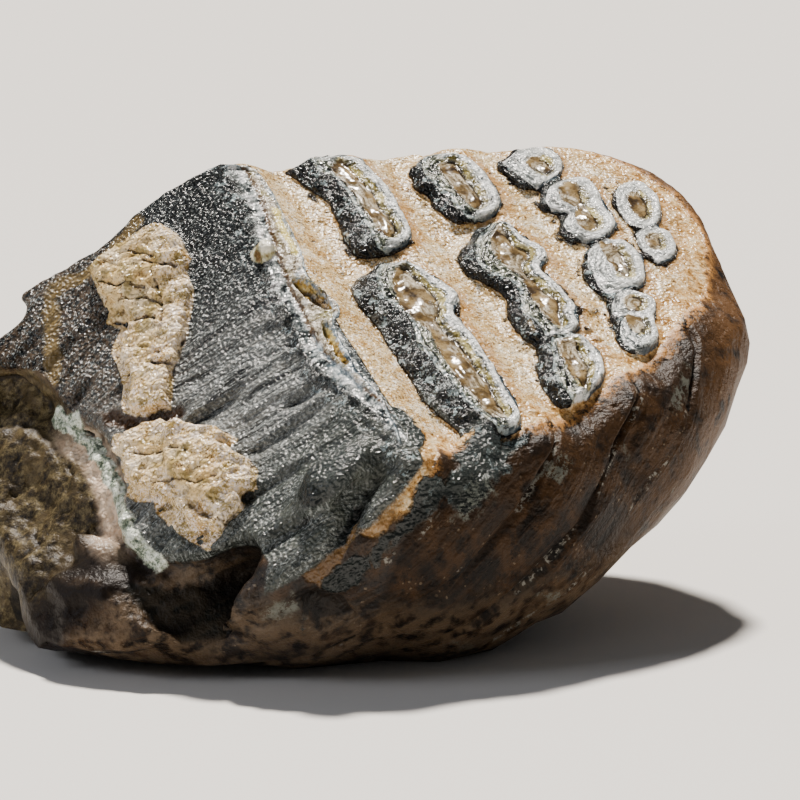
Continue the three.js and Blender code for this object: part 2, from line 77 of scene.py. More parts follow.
# Worn enamel loops on the chewing surface: the outline of each loop and the dentine basins in it
loops = {
    "plateTwoFar": {
        "relief": 1,
        "outline": [
            (11.6, 62.5), (12.3, 59.8), (13.2, 55.7), (13.7, 52), (13.9, 48.1), (13.4, 44.3), (13.3, 40.7),
            (12.8, 37.3), (11.7, 34.3), (9.5, 31.8), (6.7, 30.6), (3.7, 30.4), (2.4, 31.3), (2.4, 33.4),
            (2.8, 36.2), (3, 39.6), (3, 42.8), (3.5, 46.9), (3.7, 51.1), (3.1, 53.8), (2.9, 57.1),
            (1.2, 58.6), (0.5, 61.3), (1.3, 64.2)
        ],
        "basins": [
            [(4.3, 58.8), (5.2, 54.1), (5.9, 48.5), (5.3, 43.8), (5.7, 39.6), (5.4, 36.1), (6.2, 34.1),
             (8.9, 35.6), (9.2, 38.1), (9.4, 41.3), (9.1, 44.9), (9.6, 49.3), (9.1, 52.6), (8.1, 56),
             (7.5, 60.1), (7.1, 62.4)],
        ],
    },
    "plateTwoNear": {
        "relief": 1,
        "outline": [
            (5, 26.4), (7.3, 25.3), (9, 22.6), (10.7, 18.6), (12.7, 15.4), (13, 12.7), (11.8, 10.4),
            (10.3, 9.5), (9.2, 6.8), (10, 3), (10.4, -1.3), (10, -6.2), (10.2, -9.4), (9.4, -13.2),
            (9.3, -16.9), (9.2, -20.7), (9, -24.8), (7.3, -27.9), (4.6, -28.7), (2.5, -27.9), (1.5, -24.8),
            (-0.2, -21.8), (-0.9, -17.6), (-1.1, -12.4), (-2.1, -9.2), (-2.1, -5), (-2.8, -0.6),
            (-1.5, 3.8), (-1.2, 8.8), (-2.3, 12.9), (-3.7, 15.7), (-3, 19.6), (-1.1, 24.5), (2, 26.3)
        ],
        "basins": [
            [(5.2, 24.1), (2.3, 21.4), (0.6, 17.6), (-0.4, 12.2), (0.5, 8.1), (1.4, 4.8), (1.9, 1.5),
             (1.2, -2), (1.1, -5.5), (1.2, -9), (1.1, -12.8), (1.9, -16.7), (2.3, -22.5), (4.2, -24.6),
             (6.1, -24.3), (5.7, -21.5), (6.1, -18.1), (6.6, -14.4), (6.3, -10.5), (6.5, -7.1),
             (6.4, -3.5), (5.8, -0.6), (4.9, 2.8), (4.5, 6.1), (6.1, 8), (7.3, 10.7), (7.9, 13.5),
             (7.4, 15.8), (6.4, 18.9), (6.2, 22.3)],
        ],
    },
    "plateThreeFar": {
        "relief": 0.9,
        "outline": [
            (26, 60.6), (28.4, 61.7), (32, 61.4), (35.1, 60), (37, 58), (37.9, 54.7), (38.2, 50.7),
            (37.9, 46.5), (36.7, 42.4), (34.3, 39.4), (31.5, 38.1), (28.4, 37.7), (26.6, 39.1),
            (26.1, 41.1), (25.5, 43.4), (26.1, 46.7), (24.8, 47.4), (24.3, 49.1), (24.3, 52), (23.7, 54.3),
            (24.5, 57.6)
        ],
        "basins": [
            [(29.3, 57.3), (32.4, 58.3), (32.9, 55.7), (32.7, 52.5), (32.7, 49.7), (32.9, 45.7),
             (32.7, 43), (30.9, 41.2), (29.6, 42), (29.1, 44), (28.6, 46.9), (28.5, 50.3), (28.2, 53.1),
             (28.3, 55.7)],
        ],
    },
    "plateThreeMiddle": {
        "relief": 0.9,
        "outline": [
            (33, 36.6), (35.4, 34.7), (35.9, 29.2), (38, 28.1), (38.9, 25.3), (38.5, 22.3), (37.1, 21),
            (35.2, 19.7), (34.5, 17.9), (36, 15.1), (36.2, 12.4), (36.6, 9), (36.5, 5.3), (35, 3.3),
            (34.5, -0.6), (31.4, -2.3), (28, -2.5), (25.5, -2.6), (25.5, 0.1), (25, 2.7), (24, 4.7),
            (24.2, 7.2), (26.2, 11.3), (26.8, 14.6), (25.5, 16.7), (23.7, 18.8), (22, 21.7), (22, 24.3),
            (23.2, 28), (25.2, 31.1), (27.9, 33), (31.2, 35.7)
        ],
        "basins": [
            [(32.2, 34), (29.3, 30.5), (27.6, 26.5), (27.6, 22.7), (28.5, 19.2), (29.4, 17.9), (30, 16),
             (30.9, 15.8), (30.9, 18.8), (31.7, 21), (34, 22.6), (35.1, 25.4), (33.5, 26.4), (32.8, 29.2),
             (33.2, 32.7)],
            [(30, 16), (28.9, 10.5), (28.6, 5.8), (29, 2.1), (29.8, 0.1), (31.3, 1), (31.9, 4.2),
             (33.6, 7.2), (33.3, 10.2), (31.5, 11.3), (32.2, 14.1), (31.4, 15.8)],
        ],
    },
    "plateThreeNear": {
        "relief": 0.7,
        "outline": [
            (26.2, -3.4), (28.3, -2.8), (30.8, -2.3), (32.9, -3.1), (34.2, -4.7), (34.5, -7.1),
            (34.7, -9.7), (34, -12.5), (33.3, -14.9), (31.4, -17.4), (29.6, -18.7), (27.8, -19.9),
            (26.1, -21.4), (24.3, -21.8), (23, -23.2), (21.6, -22.7), (21.5, -20.7), (21, -18.8),
            (20.8, -17.2), (21.2, -14.8), (22, -12.2), (23.9, -9), (24.9, -5.7)
        ],
        "basins": [
            [(27.8, -5.1), (29.7, -4.4), (30.9, -5.1), (30.7, -7.4), (30.2, -10.1), (30.1, -12.6),
             (30, -14), (28.3, -16.4), (27.2, -18.3), (26.6, -19.7), (25.6, -19.1), (25.6, -16.9),
             (25.6, -13.7), (26.2, -10.8), (26.5, -8.3)],
        ],
    },
    "plateFourFar": {
        "relief": 0.5,
        "outline": [
            (43.3, 56.4), (46.9, 58.7), (50.7, 61.1), (54.5, 61.6), (57, 60.3), (58, 57.3), (58, 54.5),
            (56, 51.3), (53.3, 49.1), (50.7, 47.9), (47.7, 46.8), (46.2, 47.9), (45.3, 49.9), (44.5, 52.5),
            (44, 54.7)
        ],
        "basins": [
            [(49.9, 55.5), (51.6, 56.6), (53.7, 55.7), (54.3, 53.7), (53.7, 51.9), (51.6, 50.6),
             (50.5, 51.7), (49.4, 53.7)],
        ],
    },
    "plateFourMiddle": {
        "relief": 0.6,
        "outline": [
            (49.5, 45.6), (51.5, 47.2), (55.5, 48.8), (58.6, 49.7), (60.6, 48.8), (61.6, 45.8),
            (61.2, 42.2), (59.7, 38.1), (60, 35.3), (59.7, 31.7), (57.5, 29), (54.4, 27.3), (51.6, 26.9),
            (49.2, 26.9), (47.9, 29.2), (47, 31.4), (47.8, 34.3), (50.4, 36.6), (48.9, 37.7), (47.2, 38.9),
            (47, 41.7)
        ],
        "basins": [
            [(52.6, 45.2), (55, 46.7), (56.5, 45.6), (56.2, 42.5), (55.2, 39.6), (53.4, 38.6),
             (51.7, 40.1), (51.5, 42.6)],
            [(53.6, 37.4), (55.1, 36.6), (55.4, 34.4), (55.5, 32.3), (53.8, 30.1), (51.9, 30.4),
             (51.1, 32), (51.9, 35.2)],
        ],
    },
    "plateFourNear": {
        "relief": 0.8,
        "outline": [
            (49.2, 24.3), (51.9, 25.8), (55.1, 26.7), (57.8, 26.3), (59.3, 24.2), (59.6, 20.8),
            (59.2, 18.2), (58, 14.8), (56.6, 11.8), (54.5, 10), (52.2, 9.8), (48.7, 8.7), (46.2, 9.1),
            (45.2, 10.6), (45.1, 13.5), (45.2, 16.2), (45.6, 17.8), (47.2, 21.3)
        ],
        "basins": [
            [(52.6, 25.4), (53.5, 24.2), (54.9, 23.7), (55.6, 21.4), (55.2, 18.5), (54.4, 15.4),
             (52.9, 13.2), (51.9, 14.1), (51.8, 16.8), (51.8, 19.8), (52, 22.8)],
        ],
    },
    "plateFourDouble": {
        "relief": 0.45,
        "outline": [
            (46.9, 7.8), (48.8, 9.1), (51.4, 9.3), (53.2, 8), (55, 7), (55.7, 5.4), (54.2, 2.3),
            (52.6, -0.1), (51.6, -2.7), (51.2, -4.8), (49.7, -7.4), (47.4, -9.1), (45, -10), (42.8, -9.9),
            (42, -8.3), (41.3, -6), (42.2, -3.4), (43.7, -0.8), (45.5, 0.6), (46.4, 1.4), (44.8, 1.4),
            (43.7, 2.2), (44.3, 4.5)
        ],
        "basins": [
            [(48.2, 5), (49.7, 6.7), (51.4, 6.9), (52.1, 5.9), (52.1, 4.4), (50.9, 3.3), (49, 2.9),
             (48.1, 3.5)],
            [(46.3, 0.7), (47.7, -0.2), (49.1, -1.3), (49, -3), (47.3, -4.6), (46.1, -4.4), (45.4, -3.5),
             (45.7, -1.4)],
        ],
    },
    "plateFiveFar": {
        "relief": 0.3,
        "outline": [
            (65.2, 43), (68, 45.5), (71.1, 46.5), (73.2, 45.7), (74.2, 43.2), (74.6, 40.3), (73.8, 36.9),
            (71.7, 33), (69.3, 30.2), (66.9, 29.2), (64.8, 28.9), (63.1, 30), (62.4, 32), (62.3, 35.1),
            (62.9, 38.5)
        ],
        "basins": [
            [(67.2, 40.1), (69.2, 41), (70.2, 39.2), (69.7, 36.4), (68.3, 33.5), (66.6, 32.3), (66.1, 34),
             (66, 36.3)],
        ],
    },
    "plateFiveNear": {
        "relief": 0.35,
        "outline": [
            (62.2, 27.6), (64.8, 28.9), (67.9, 29.3), (70.1, 28.2), (70.7, 25.6), (69.8, 22.1),
            (67.9, 19.3), (65.1, 17.6), (61.9, 16.9), (61.8, 19.1), (61.3, 21.1), (61.1, 23.6)
        ],
        "basins": [
            [(64.1, 25.4), (66, 26.8), (66.8, 25.8), (66.7, 23.9), (65.3, 21.9), (63.9, 21.8), (63.4, 23.3)],
        ],
    },
}

# Plate one: its worn band runs the full width. Its pockets are sunk golden hollows in the band.
plateOne = {
    "band": [(-24, 64), (-13.6, 61.5), (-12.2, 54), (-11.9, 49.3), (-12.8, 43), (-13.6, 37), (-14.4, 31.5),
             (-15.8, 27.4), (-16.8, 23.7), (-15.5, 19.2), (-14.4, 15.5), (-14.4, 12.5), (-15.5, 10.1),
             (-17.3, 8.4), (-18.5, -4), (-17.5, -14), (-18, -24), (-20, -31), (-25, -34), (-31, -31),
             (-34, -20), (-34, 40), (-31, 60)],
    "pockets": [[(-19.9, 24.6), (-17.9, 22.7), (-16.6, 19), (-15.6, 13.5), (-17.6, 13.8), (-19, 17.1),
                 (-19.8, 20.7)],
                [(-19.2, 9.9), (-18.8, 7), (-19.1, 3.2), (-19.4, 0.2), (-19.4, -3.2), (-20.4, -3.4),
                 (-20.8, 0.2), (-20.6, 3.4), (-20.4, 7.2)]],
    "yellowStreak": [(-14.6, 46.5), (-15.5, 42.1), (-16, 35.8), (-16.4, 31.9)],
    # front-frame height of the line where the dark front turns into the pale worn edge
    "wearLine": [(-0.5, 66), (-0.3, 57.6), (-0.9, 50), (-2.4, 42.3), (-4.4, 30.8), (-5.6, 22.1),
                 (-6.0, 14.5), (-7.1, 4), (-6.3, -2.5), (-5.0, -8.2), (-2.8, -14.8), (-0.8, -22.9),
                 (-0.5, -34)],
}

# Bare front of plate one, in the front frame: cement that clings to it, and the broken shell at its foot
bareFront = {
    "patches": [
        [(-25, 57.4), (-21.7, 58.3), (-17.9, 56.7), (-16.5, 52.9), (-16.4, 48.6), (-16.6, 43.9),
         (-18.8, 41.1), (-19.3, 36.4), (-21.5, 32.5), (-25.2, 26.4), (-29.2, 21.6), (-30.9, 20.2),
         (-34, 14.4), (-35.4, 11.8), (-38.6, 12.6), (-41.8, 15), (-43.3, 17.8), (-42.4, 21.6),
         (-40.4, 26.1), (-39.6, 33.9), (-35.5, 38.1), (-38, 42.2), (-36.3, 44.5), (-35.9, 51),
         (-35.4, 55.8), (-33.2, 57.7), (-29.3, 57.7)],
        [(-47.5, 13.1), (-45, 11.7), (-41.3, 10.4), (-37.6, 8.6), (-35.7, 4.8), (-32.1, 0.7), (-28.3, -2.4),
         (-27.2, -5.6), (-29.9, -7), (-27.1, -11.8), (-26.9, -15.6), (-28.6, -19), (-31.1, -18.8),
         (-32.5, -21.6), (-36.2, -22.4), (-39.5, -24.6), (-42.2, -25.6), (-44.2, -21), (-46, -16.4),
         (-47.2, -10.6), (-46.5, -7.8), (-49.6, -5.3), (-51.1, -1.6), (-50.4, 3), (-50, 9.3)],
    ],
    # open cracks between the thin layers of the patches, each with its half width and depth
    "cracks": [
        ([(-28.2, 54.3), (-26.6, 53.6), (-25.2, 51.6), (-23.8, 50), (-22.8, 47.6)], 0.4, 0.8),
        ([(-32.3, 55.8), (-30.8, 53.4), (-29.6, 50.3)], 0.35, 0.5),
        ([(-24.8, 48.4), (-22.6, 45.4), (-19.5, 42.4)], 0.4, 0.8),
        ([(-35.7, 51.5), (-34.2, 50.3), (-32.4, 46.8), (-30.1, 45.9), (-28.8, 43.4), (-27.4, 42.1)],
         0.4, 0.9),
        ([(-33.4, 44), (-31.3, 41.9), (-28.6, 40.2), (-26.4, 36.9)], 0.35, 0.7),
        ([(-36.4, 40.6), (-34.5, 38.6), (-32.5, 36.1), (-30.2, 35.2), (-28.9, 33.7)], 0.55, 1.1),
        ([(-24.4, 44.6), (-25.3, 39.2), (-26.9, 34.1), (-29.3, 29.2)], 0.3, 0.6),
        ([(-33.7, 23.2), (-32.5, 21.5), (-31, 20.6)], 0.5, 0.9),
        ([(-36.2, 30.4), (-33.1, 27.6), (-31.4, 24.4)], 0.35, 0.5),
        ([(-40.8, -15.6), (-40, -18.4), (-38.7, -20.6)], 1.2, 0.55),
        ([(-46.2, 4.4), (-43.1, 1.2), (-39.4, -0.6), (-36.3, -4.8)], 0.4, 0.6),
        ([(-44.7, -6.1), (-41.2, -8.4), (-37.8, -12.9), (-33.6, -14.2)], 0.35, 0.6),
        ([(-50.6, -7.4), (-50.4, -6.6)], 0.9, 1.4),
    ],
    "siltEdge": [(-22, 63), (-29.7, 58.5), (-36.3, 57.5), (-42.6, 59.4), (-45.6, 57), (-49.4, 46),
                 (-53.4, 36)],
    "crevice": [(-46.5, 18.6), (-43.9, 14.6), (-40.9, 12.4), (-37.6, 11.1), (-34.6, 9.4)],
    "footBreak": [(-53, 26), (-50, 18), (-49.5, 11), (-50, 3), (-52.5, -4), (-55, -10), (-53, -16),
                  (-50, -21), (-45, -25), (-38, -28), (-34, -31), (-36, -40), (-60, -44), (-110, -40),
                  (-110, 75), (-60, 48)],
    "footHollow": [(-60, -20), (-53, -24), (-45, -26), (-37, -27), (-33, -31), (-38, -36), (-48, -37),
                   (-58, -32)],
    "brokenEdge": [(-56.5, 30.5), (-55.2, 27.2), (-53.2, 24.2), (-53.7, 21.1), (-52.6, 18.1), (-52.9, 14.2),
                   (-51.8, 10.1), (-52.7, 6.3), (-52.2, 2.9), (-53.4, -2), (-53.4, -5.9), (-54.4, -10.2),
                   (-53.8, -14.7), (-52.3, -19.8)],
}

# Places on the near side, in the tooth frame: from one point to another, with a radius
enamelSpots = [
    ((-22, -24, -4), (-37, -31, -14), 9.5),
    ((4, -27, -5), (-8, -35, -10), 6.5),
    ((-15, -37, -6), (-35, -43, -21), 3.2),
    ((-35, -43, -21), (-40, -44, -29), 2.2),
]
ochreSpots = [
    ((-15, -25, -2), (-16, -30, -3), 4.5),
    ((-20, -33, -5), (-28, -39, -10), 3.6),
    ((-32, -36, -13), (-38, -40, -18), 4.2),
    ((-38, -42, -19), (-35, -44, -23), 2.0),
]
fleckSpots = [
    ((-15, -43, -12), (-8, -42, -10), 1.6),
    ((-4, -38, -6), (-8, -40, -10), 2.6),
    ((10, -47, -28), (14, -47, -32), 1.6),
    ((-9, -48, -39), (-4, -48, -40), 2.2),
    ((53, -16, -2), (47, -22, -6), 1.5),
    ((15, -34, -4), (12, -36, -6), 2.0),
    ((32, -31, -7), (31, -32, -9), 1.2),
    ((-43, -42, -25), (-46, -41, -28), 1.6),
    ((24, -45, -30), (30, -43, -24), 1.8),
    ((40, -38, -26), (46, -33, -18), 1.6),
]

# Edges of the buried plates on each side, as distances along the tooth, and a knobbly place below them
sideLines = {"near": [-3, 18, 39.5, 60], "far": [-12, 6, 30, 54], "width": 0.8, "wander": 1.6, "bend": 16}
knobs = {"at": (-24, -46.5, -28), "radius": 9.0}

# Small lumps in the tooth frame: where, radius and rise. The first is a pearl of dentine on the worn edge.
bumps = [
    ((-22.0, 34.9, -1.5), 3.0, 2.4),
    ((40.0, 5.5, -1.4), 2.6, 0.8),
    ((36.0, -1.0, -1.0), 1.3, 0.6),
    ((36.6, -4.0, -1.0), 1.4, 0.6),
]

# Height of the worn cement along the tooth, square to the chewing surface
cementLevel = {
    "along": [-14, -6.5, -2, 11, 20, 24, 37, 45, 49, 60, 70, 80, 87],
    "height": [-0.6, -4.1, -3.6, -0.8, -2.8, -2.5, -0.8, -1.9, -1.6, -1, -1.6, -2.4, -5],
}

# Tan face of the chewing surface: past this line the cement turns golden, then brown
tanFace = [(-60, -60), (-60, 70), (60, 68), (68, 60), (76, 50), (80, 40), (79.5, 28), (74.5, 16), (67, 6),
           (57, -2), (50, -8.5), (40, -14.5), (32, -18), (25, -22.5), (16.5, -25.4), (8, -28), (0, -30),
           (-10, -29), (-14, -31), (-20, -40)]


def intoFrame(points, matrix):
    inverse = np.array(matrix.inverted())
    return points @ inverse[:3, :3].T + inverse[:3, 3]


def smoothStep(value, start, end):
    t = np.clip((value - start) / (end - start), 0, 1)
    return t * t * (3 - 2 * t)


def hump(value, centre, width):
    return np.exp(-(((value - centre) / width) ** 2))


def rollAt(x, y, z, seed):
    # one fixed value between -1 and 1 for each whole-numbered place
    key = (x * 73856093 ^ y * 19349663 ^ z * 83492791 ^ seed * 2654435761) & 0xFFFFFFFF
    key = ((key ^ (key >> 15)) * 2246822519) & 0xFFFFFFFF
    key = ((key ^ (key >> 13)) * 3266489917) & 0xFFFFFFFF
    return ((key ^ (key >> 16)) & 0xFFFF) / 32767.5 - 1


def latticeNoise(points, cell, seed=0):
    # smooth noise between -1 and 1 with bumps about one cell apart
    p = points / cell + 37.3 * seed
    corner = np.floor(p).astype(np.int64)
    t = p - corner
    t = t * t * (3 - 2 * t)
    total = np.zeros(len(points))
    for dx in (0, 1):
        for dy in (0, 1):
            for dz in (0, 1):
                value = rollAt(corner[:, 0] + dx, corner[:, 1] + dy, corner[:, 2] + dz, seed)
                weight = (t[:, 0] if dx else 1 - t[:, 0]) * (t[:, 1] if dy else 1 - t[:, 1])
                total += value * weight * (t[:, 2] if dz else 1 - t[:, 2])
    return total


def facetNoise(flat, cell, seed=0):
    # angular facets, as stone flakes: each point lies on the tilted plane of its nearest scattered centre
    home = np.floor(flat / cell).astype(np.int64)
    best, height = np.full(len(flat), 1e9), np.zeros(len(flat))
    for dx in (-1, 0, 1):
        for dy in (-1, 0, 1):
            x, y = home[:, 0] + dx, home[:, 1] + dy
            rolls = [rollAt(x, y, 0, seed * 7 + k) for k in range(5)]
            centre = np.stack([x + 0.5 + 0.42 * rolls[0], y + 0.5 + 0.42 * rolls[1]], 1) * cell
            gap = flat - centre
            square = (gap**2).sum(1)
            plane = 0.5 * rolls[2] + (gap[:, 0] * rolls[3] + gap[:, 1] * rolls[4]) / cell
            height = np.where(square < best, plane, height)
            best = np.minimum(best, square)
    return height


def layeredNoise(points, cell, seed=0, layers=3):
    total = np.zeros(len(points))
    for layer in range(layers):
        total += latticeNoise(points, cell / 2**layer, seed + layer) / 2**layer
    return total / (2 - 0.5 ** (layers - 1))


def roundOutline(points, stepsPerPoint=5):
    # closed curve through the points
    p = np.array(points, float)
    before, after, further = np.roll(p, 1, 0), np.roll(p, -1, 0), np.roll(p, -2, 0)
    t = np.linspace(0, 1, stepsPerPoint, endpoint=False)[:, None, None]
    curve = 0.5 * (
        2 * p
        + (after - before) * t
        + (2 * before - 5 * p + 4 * after - further) * t**2
        + (3 * p - before - 3 * after + further) * t**3
    )
    return curve.transpose(1, 0, 2).reshape(-1, 2)


def nearOutline(points, outline, steps=2, reach=10.0):
    # distance to a closed outline, positive inside it and held between -reach and reach, and which way
    # its nearest side looks: 1 where the inside lies towards +x of it, -1 where it lies towards -x
    corners = roundOutline(outline, steps)
    result, facing = np.full(len(points), -reach), np.zeros(len(points))
    near = ((points > corners.min(0) - reach) & (points < corners.max(0) + reach)).all(1)
    p = points[near]
    best, away = np.full(len(p), reach**2), np.zeros(len(p))
    inside = np.zeros(len(p), bool)
    for start, end in zip(corners, np.roll(corners, -1, 0)):
        edge = end - start
        offset = p - start
        t = np.clip(offset @ edge / (edge @ edge), 0, 1)
        gap = offset - t[:, None] * edge
        square = (gap**2).sum(1)
        away = np.where(square < best, gap[:, 0], away)
        best = np.minimum(best, square)
        crosses = (start[1] > p[:, 1]) != (end[1] > p[:, 1])
        rise = edge[1] if edge[1] else 1e-9
        inside ^= crosses & (offset[:, 0] < edge[0] * offset[:, 1] / rise)
    side = np.where(inside, 1, -1)
    result[near] = side * np.sqrt(best)
    facing[near] = side * away / np.maximum(np.sqrt(best), 0.05)
    return result, facing


def insideDistance(points, outline, steps=3):
    return nearOutline(points, outline, steps)[0]


def pathDistance(points, path):
    path = np.array(path, float)
    best = np.full(len(points), 1e9)
    for start, end in zip(path[:-1], path[1:]):
        edge = end - start
        offset = points - start
        t = np.clip(offset @ edge / (edge @ edge), 0, 1)
        best = np.minimum(best, np.linalg.norm(offset - t[:, None] * edge, axis=1))
    return best


def spotDistance(points, spots):
    # positive inside the nearest of the spots
    best = np.full(len(points), -12.0)
    for start, end, radius in spots:
        best = np.maximum(best, radius - pathDistance(points, [start, end]))
    return best


def readFields(points):
    # where each point lies in the tooth: the distances that the relief and the material go by
    t = intoFrame(points, toothMatrix)
    f = intoFrame(points, frontMatrix)
    plateX = t[:, 0] - lean * t[:, 2]
    flat = np.stack([plateX, t[:, 1]], 1)
    far = np.full(len(points), -10.0)
    rim, ring, basin, facing, relief = far, far, far, np.zeros(len(points)), np.ones(len(points))
    for loop in loops.values():
        rim = np.maximum(rim, insideDistance(flat, loop["outline"], 2))
        depth, turned = nearOutline(t[:, :2], loop["outline"])
        facing = np.where(depth > ring, turned, facing)
        relief = np.where(depth > ring, loop["relief"], relief)
        ring = np.maximum(ring, depth)
        for outline in loop["basins"]:
            basin = np.maximum(basin, insideDistance(t[:, :2], outline, 2))
    pocket, patch, crack = far, far, np.zeros(len(points))
    for outline in plateOne["pockets"]:
        pocket = np.maximum(pocket, insideDistance(t[:, :2], outline))
    front = f[:, :2]
    for outline in bareFront["patches"]:
        patch = np.maximum(patch, insideDistance(front, outline, 1))
    for path, half, depth in bareFront["cracks"]:
        gap = pathDistance(front, path) + 0.35 * latticeNoise(points, 1.3, 7)
        crack = np.maximum(crack, depth * np.exp(-((gap / half) ** 2)))
    wear = np.array(plateOne["wearLine"])
    wearHeight = np.interp(f[:, 1], wear[::-1, 1], wear[::-1, 0])
    lines = {}
    for side, seed in (("near", 5), ("far", 6)):
        bent = plateX - sideLines["wander"] * latticeNoise(points, sideLines["bend"], seed)
        lines[side] = np.min([np.abs(bent - x) for x in sideLines[side]], axis=0)
    # ribs run straight down the front, then bend to the near side, sooner on its far half
    farHalf = smoothStep(f[:, 1], 18, 28)
    bend = (1 - farHalf) * 0.4 * np.maximum(-32 - f[:, 0], 0) + farHalf * 0.46 * np.maximum(-16 - f[:, 0], 0)
    pearl, pearlRadius = np.array(bumps[0][0]), bumps[0][1]
    return {
        "tooth": t,
        "front": f,
        "plateX": plateX,
        "rim": rim + np.clip(t[:, 2] + 14, -10, 0),
        "ring": ring,
        "basin": basin,
        "share": np.clip(ring / np.maximum(ring - basin, 0.3), 0, 1.2),
        "facing": facing,
        "relief": relief,
        "wallHeight": t[:, 2] - np.interp(t[:, 0], cementLevel["along"], cementLevel["height"]),
        "band": insideDistance(flat, plateOne["band"]),
        "pocket": pocket,
        "pearl": pearlRadius - np.linalg.norm(t - pearl, axis=1),
        "streak": pathDistance(t[:, :2], plateOne["yellowStreak"]),
        "patch": np.where((f[:, 2] > -0.6) & (f[:, 2] < 12), patch, -10),
        "crack": crack,
        "core": np.where(f[:, 2] < 3, insideDistance(front, bareFront["footBreak"]), -10),
        "hollow": insideDistance(front, bareFront["footHollow"]),
        "strip": np.where(np.abs(f[:, 2]) < 9, pathDistance(front, bareFront["brokenEdge"]), 10),
        "wear": f[:, 0] - wearHeight,
        "silt": pathDistance(front, bareFront["siltEdge"]),
        "crevice": pathDistance(front, bareFront["crevice"]),
        "ribAcross": f[:, 1] + bend,
        "tan": insideDistance(t[:, :2], tanFace),
        "enamelSpot": spotDistance(t, enamelSpots),
        "ochreSpot": spotDistance(t, ochreSpots),
        "fleck": spotDistance(t, fleckSpots),
        "line": np.where(t[:, 1] < 20, lines["near"], lines["far"]),
    }


def readPoints(mesh):
    points = np.empty(len(mesh.vertices) * 3)
    mesh.vertices.foreach_get("co", points)
    return points.reshape(-1, 3) / metresPerMm


def readNormals(mesh):
    normals = np.empty(len(mesh.vertices) * 3)
    mesh.vertices.foreach_get("normal", normals)
    return normals.reshape(-1, 3)


def writePoints(mesh, points):
    mesh.vertices.foreach_set("co", (points * metresPerMm).ravel())
    mesh.update()


def readEdges(mesh):
    edges = np.empty(len(mesh.edges) * 2, np.int32)
    mesh.edges.foreach_get("vertices", edges)
    return edges.reshape(-1, 2)


def neighbourMean(values, edges):
    a, b = edges[:, 0], edges[:, 1]
    count = len(values)
    ties = np.bincount(a, minlength=count) + np.bincount(b, minlength=count)
    mean = np.empty_like(values)
    for axis in range(values.shape[1]):
        column = values[:, axis]
        total = np.bincount(a, column[b], count) + np.bincount(b, column[a], count)
        mean[:, axis] = total / np.maximum(ties, 1)
    return mean


def select(thing):
    bpy.ops.object.select_all(action="DESELECT")
    thing.select_set(True)
    bpy.context.view_layer.objects.active = thing


def applyModifier(thing, kind, **settings):
    select(thing)
    modifier = thing.modifiers.new(kind.title(), kind)
    for name, value in settings.items():
        setattr(modifier, name, value)
    bpy.ops.object.modifier_apply(modifier=modifier.name)


skin = {
    "voxel": 0.62,  # mm between points of the first skin, then of the final one
    "fineVoxel": 0.52,
    "weld": 1e-6,
    "evenSmoothing": 3,
    "softSmoothing": 34,
    "bevelSmoothing": 60,
    "triangles": 194000,
    "edgeMargin": 1.6,  # mm over which relief eases off at the sides of the CAD box
    "baseHeight": 1.2,  # mm over the table that stay plain, for the flat resting patch
    "tableHeight": 0.3,  # mm over the table that smoothing leaves alone
    "fineWeight": 0.52,  # how readily faces merge on the chewing surface and the front, against 1 elsewhere
    "cavityRounds": 10,
    "cavityShare": 0.6,
}


def growSkin():
    # A copy of the CAD solid as an even skin of small faces that relief can move
    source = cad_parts["molar_fragment"]
    piece = bpy.data.objects.new("molarSkin", source.data.copy())
    bpy.context.scene.collection.objects.link(piece)
    piece.data.materials.clear()
    select(piece)
    bpy.ops.object.mode_set(mode="EDIT")
    bpy.ops.mesh.select_all(action="SELECT")
    bpy.ops.mesh.remove_doubles(threshold=skin["weld"])
    bpy.ops.object.mode_set(mode="OBJECT")
    applyModifier(piece, "REMESH", mode="VOXEL", voxel_size=skin["voxel"] * metresPerMm)
    print("skin grown:", len(piece.data.vertices), "points")
    return piece


def flakeFrame(at):
    # the clinging cement flakes in slanting layers: down and along them, the second pressed together
    f = at["front"]
    return np.stack([-0.43 * f[:, 0] - 0.90 * f[:, 1], (0.75 * f[:, 0] - 0.66 * f[:, 1]) / 1.6], 1)


def shapeForms(piece):
    # coarse forms before the fine relief: worn tops of the loops, angular edges of the clinging cement
    mesh = piece.data
    points = readPoints(mesh)
    at = readFields(points)
    t, f = at["tooth"], at["front"]
    up = np.array(toothMatrix.to_3x3().col[2])
    out = np.array(frontMatrix.to_3x3().col[2])
    onTop = smoothStep(at["ring"], 0.1, 0.6) * smoothStep(t[:, 2], -3.2, -2.2)
    points = points + (onTop * (loopTop(points, at) - t[:, 2]))[:, None] * up
    flat = flakeFrame(at)
    ragged = at["patch"] + 0.5 * facetNoise(flat, 4.0, 3) + 0.25 * facetNoise(flat, 1.9, 4)
    keep = 0.06 + 0.94 * smoothStep(ragged, -0.5, 0.4)
    near = smoothStep(at["patch"], -6, -4) * (f[:, 2] > 0.1) * (f[:, 2] < 12)
    points = points - (near * (1 - 0.8 * keep) * f[:, 2])[:, None] * out
    writePoints(mesh, points)
    applyModifier(piece, "REMESH", mode="VOXEL", voxel_size=skin["fineVoxel"] * metresPerMm)
    mesh = piece.data
    points, edges = readPoints(mesh), readEdges(mesh)
    writePoints(mesh, relax(points, edges, np.where(onTable(points), 0.0, 1.0), 2))
    print("forms shaped:", len(mesh.vertices), "points")


def onTable(points):
    return points[:, 2] < points[:, 2].min() + skin["tableHeight"]


def relax(points, edges, weight, rounds):
    for _ in range(rounds):
        points = points + 0.5 * weight[:, None] * (neighbourMean(points, edges) - points)
    return points


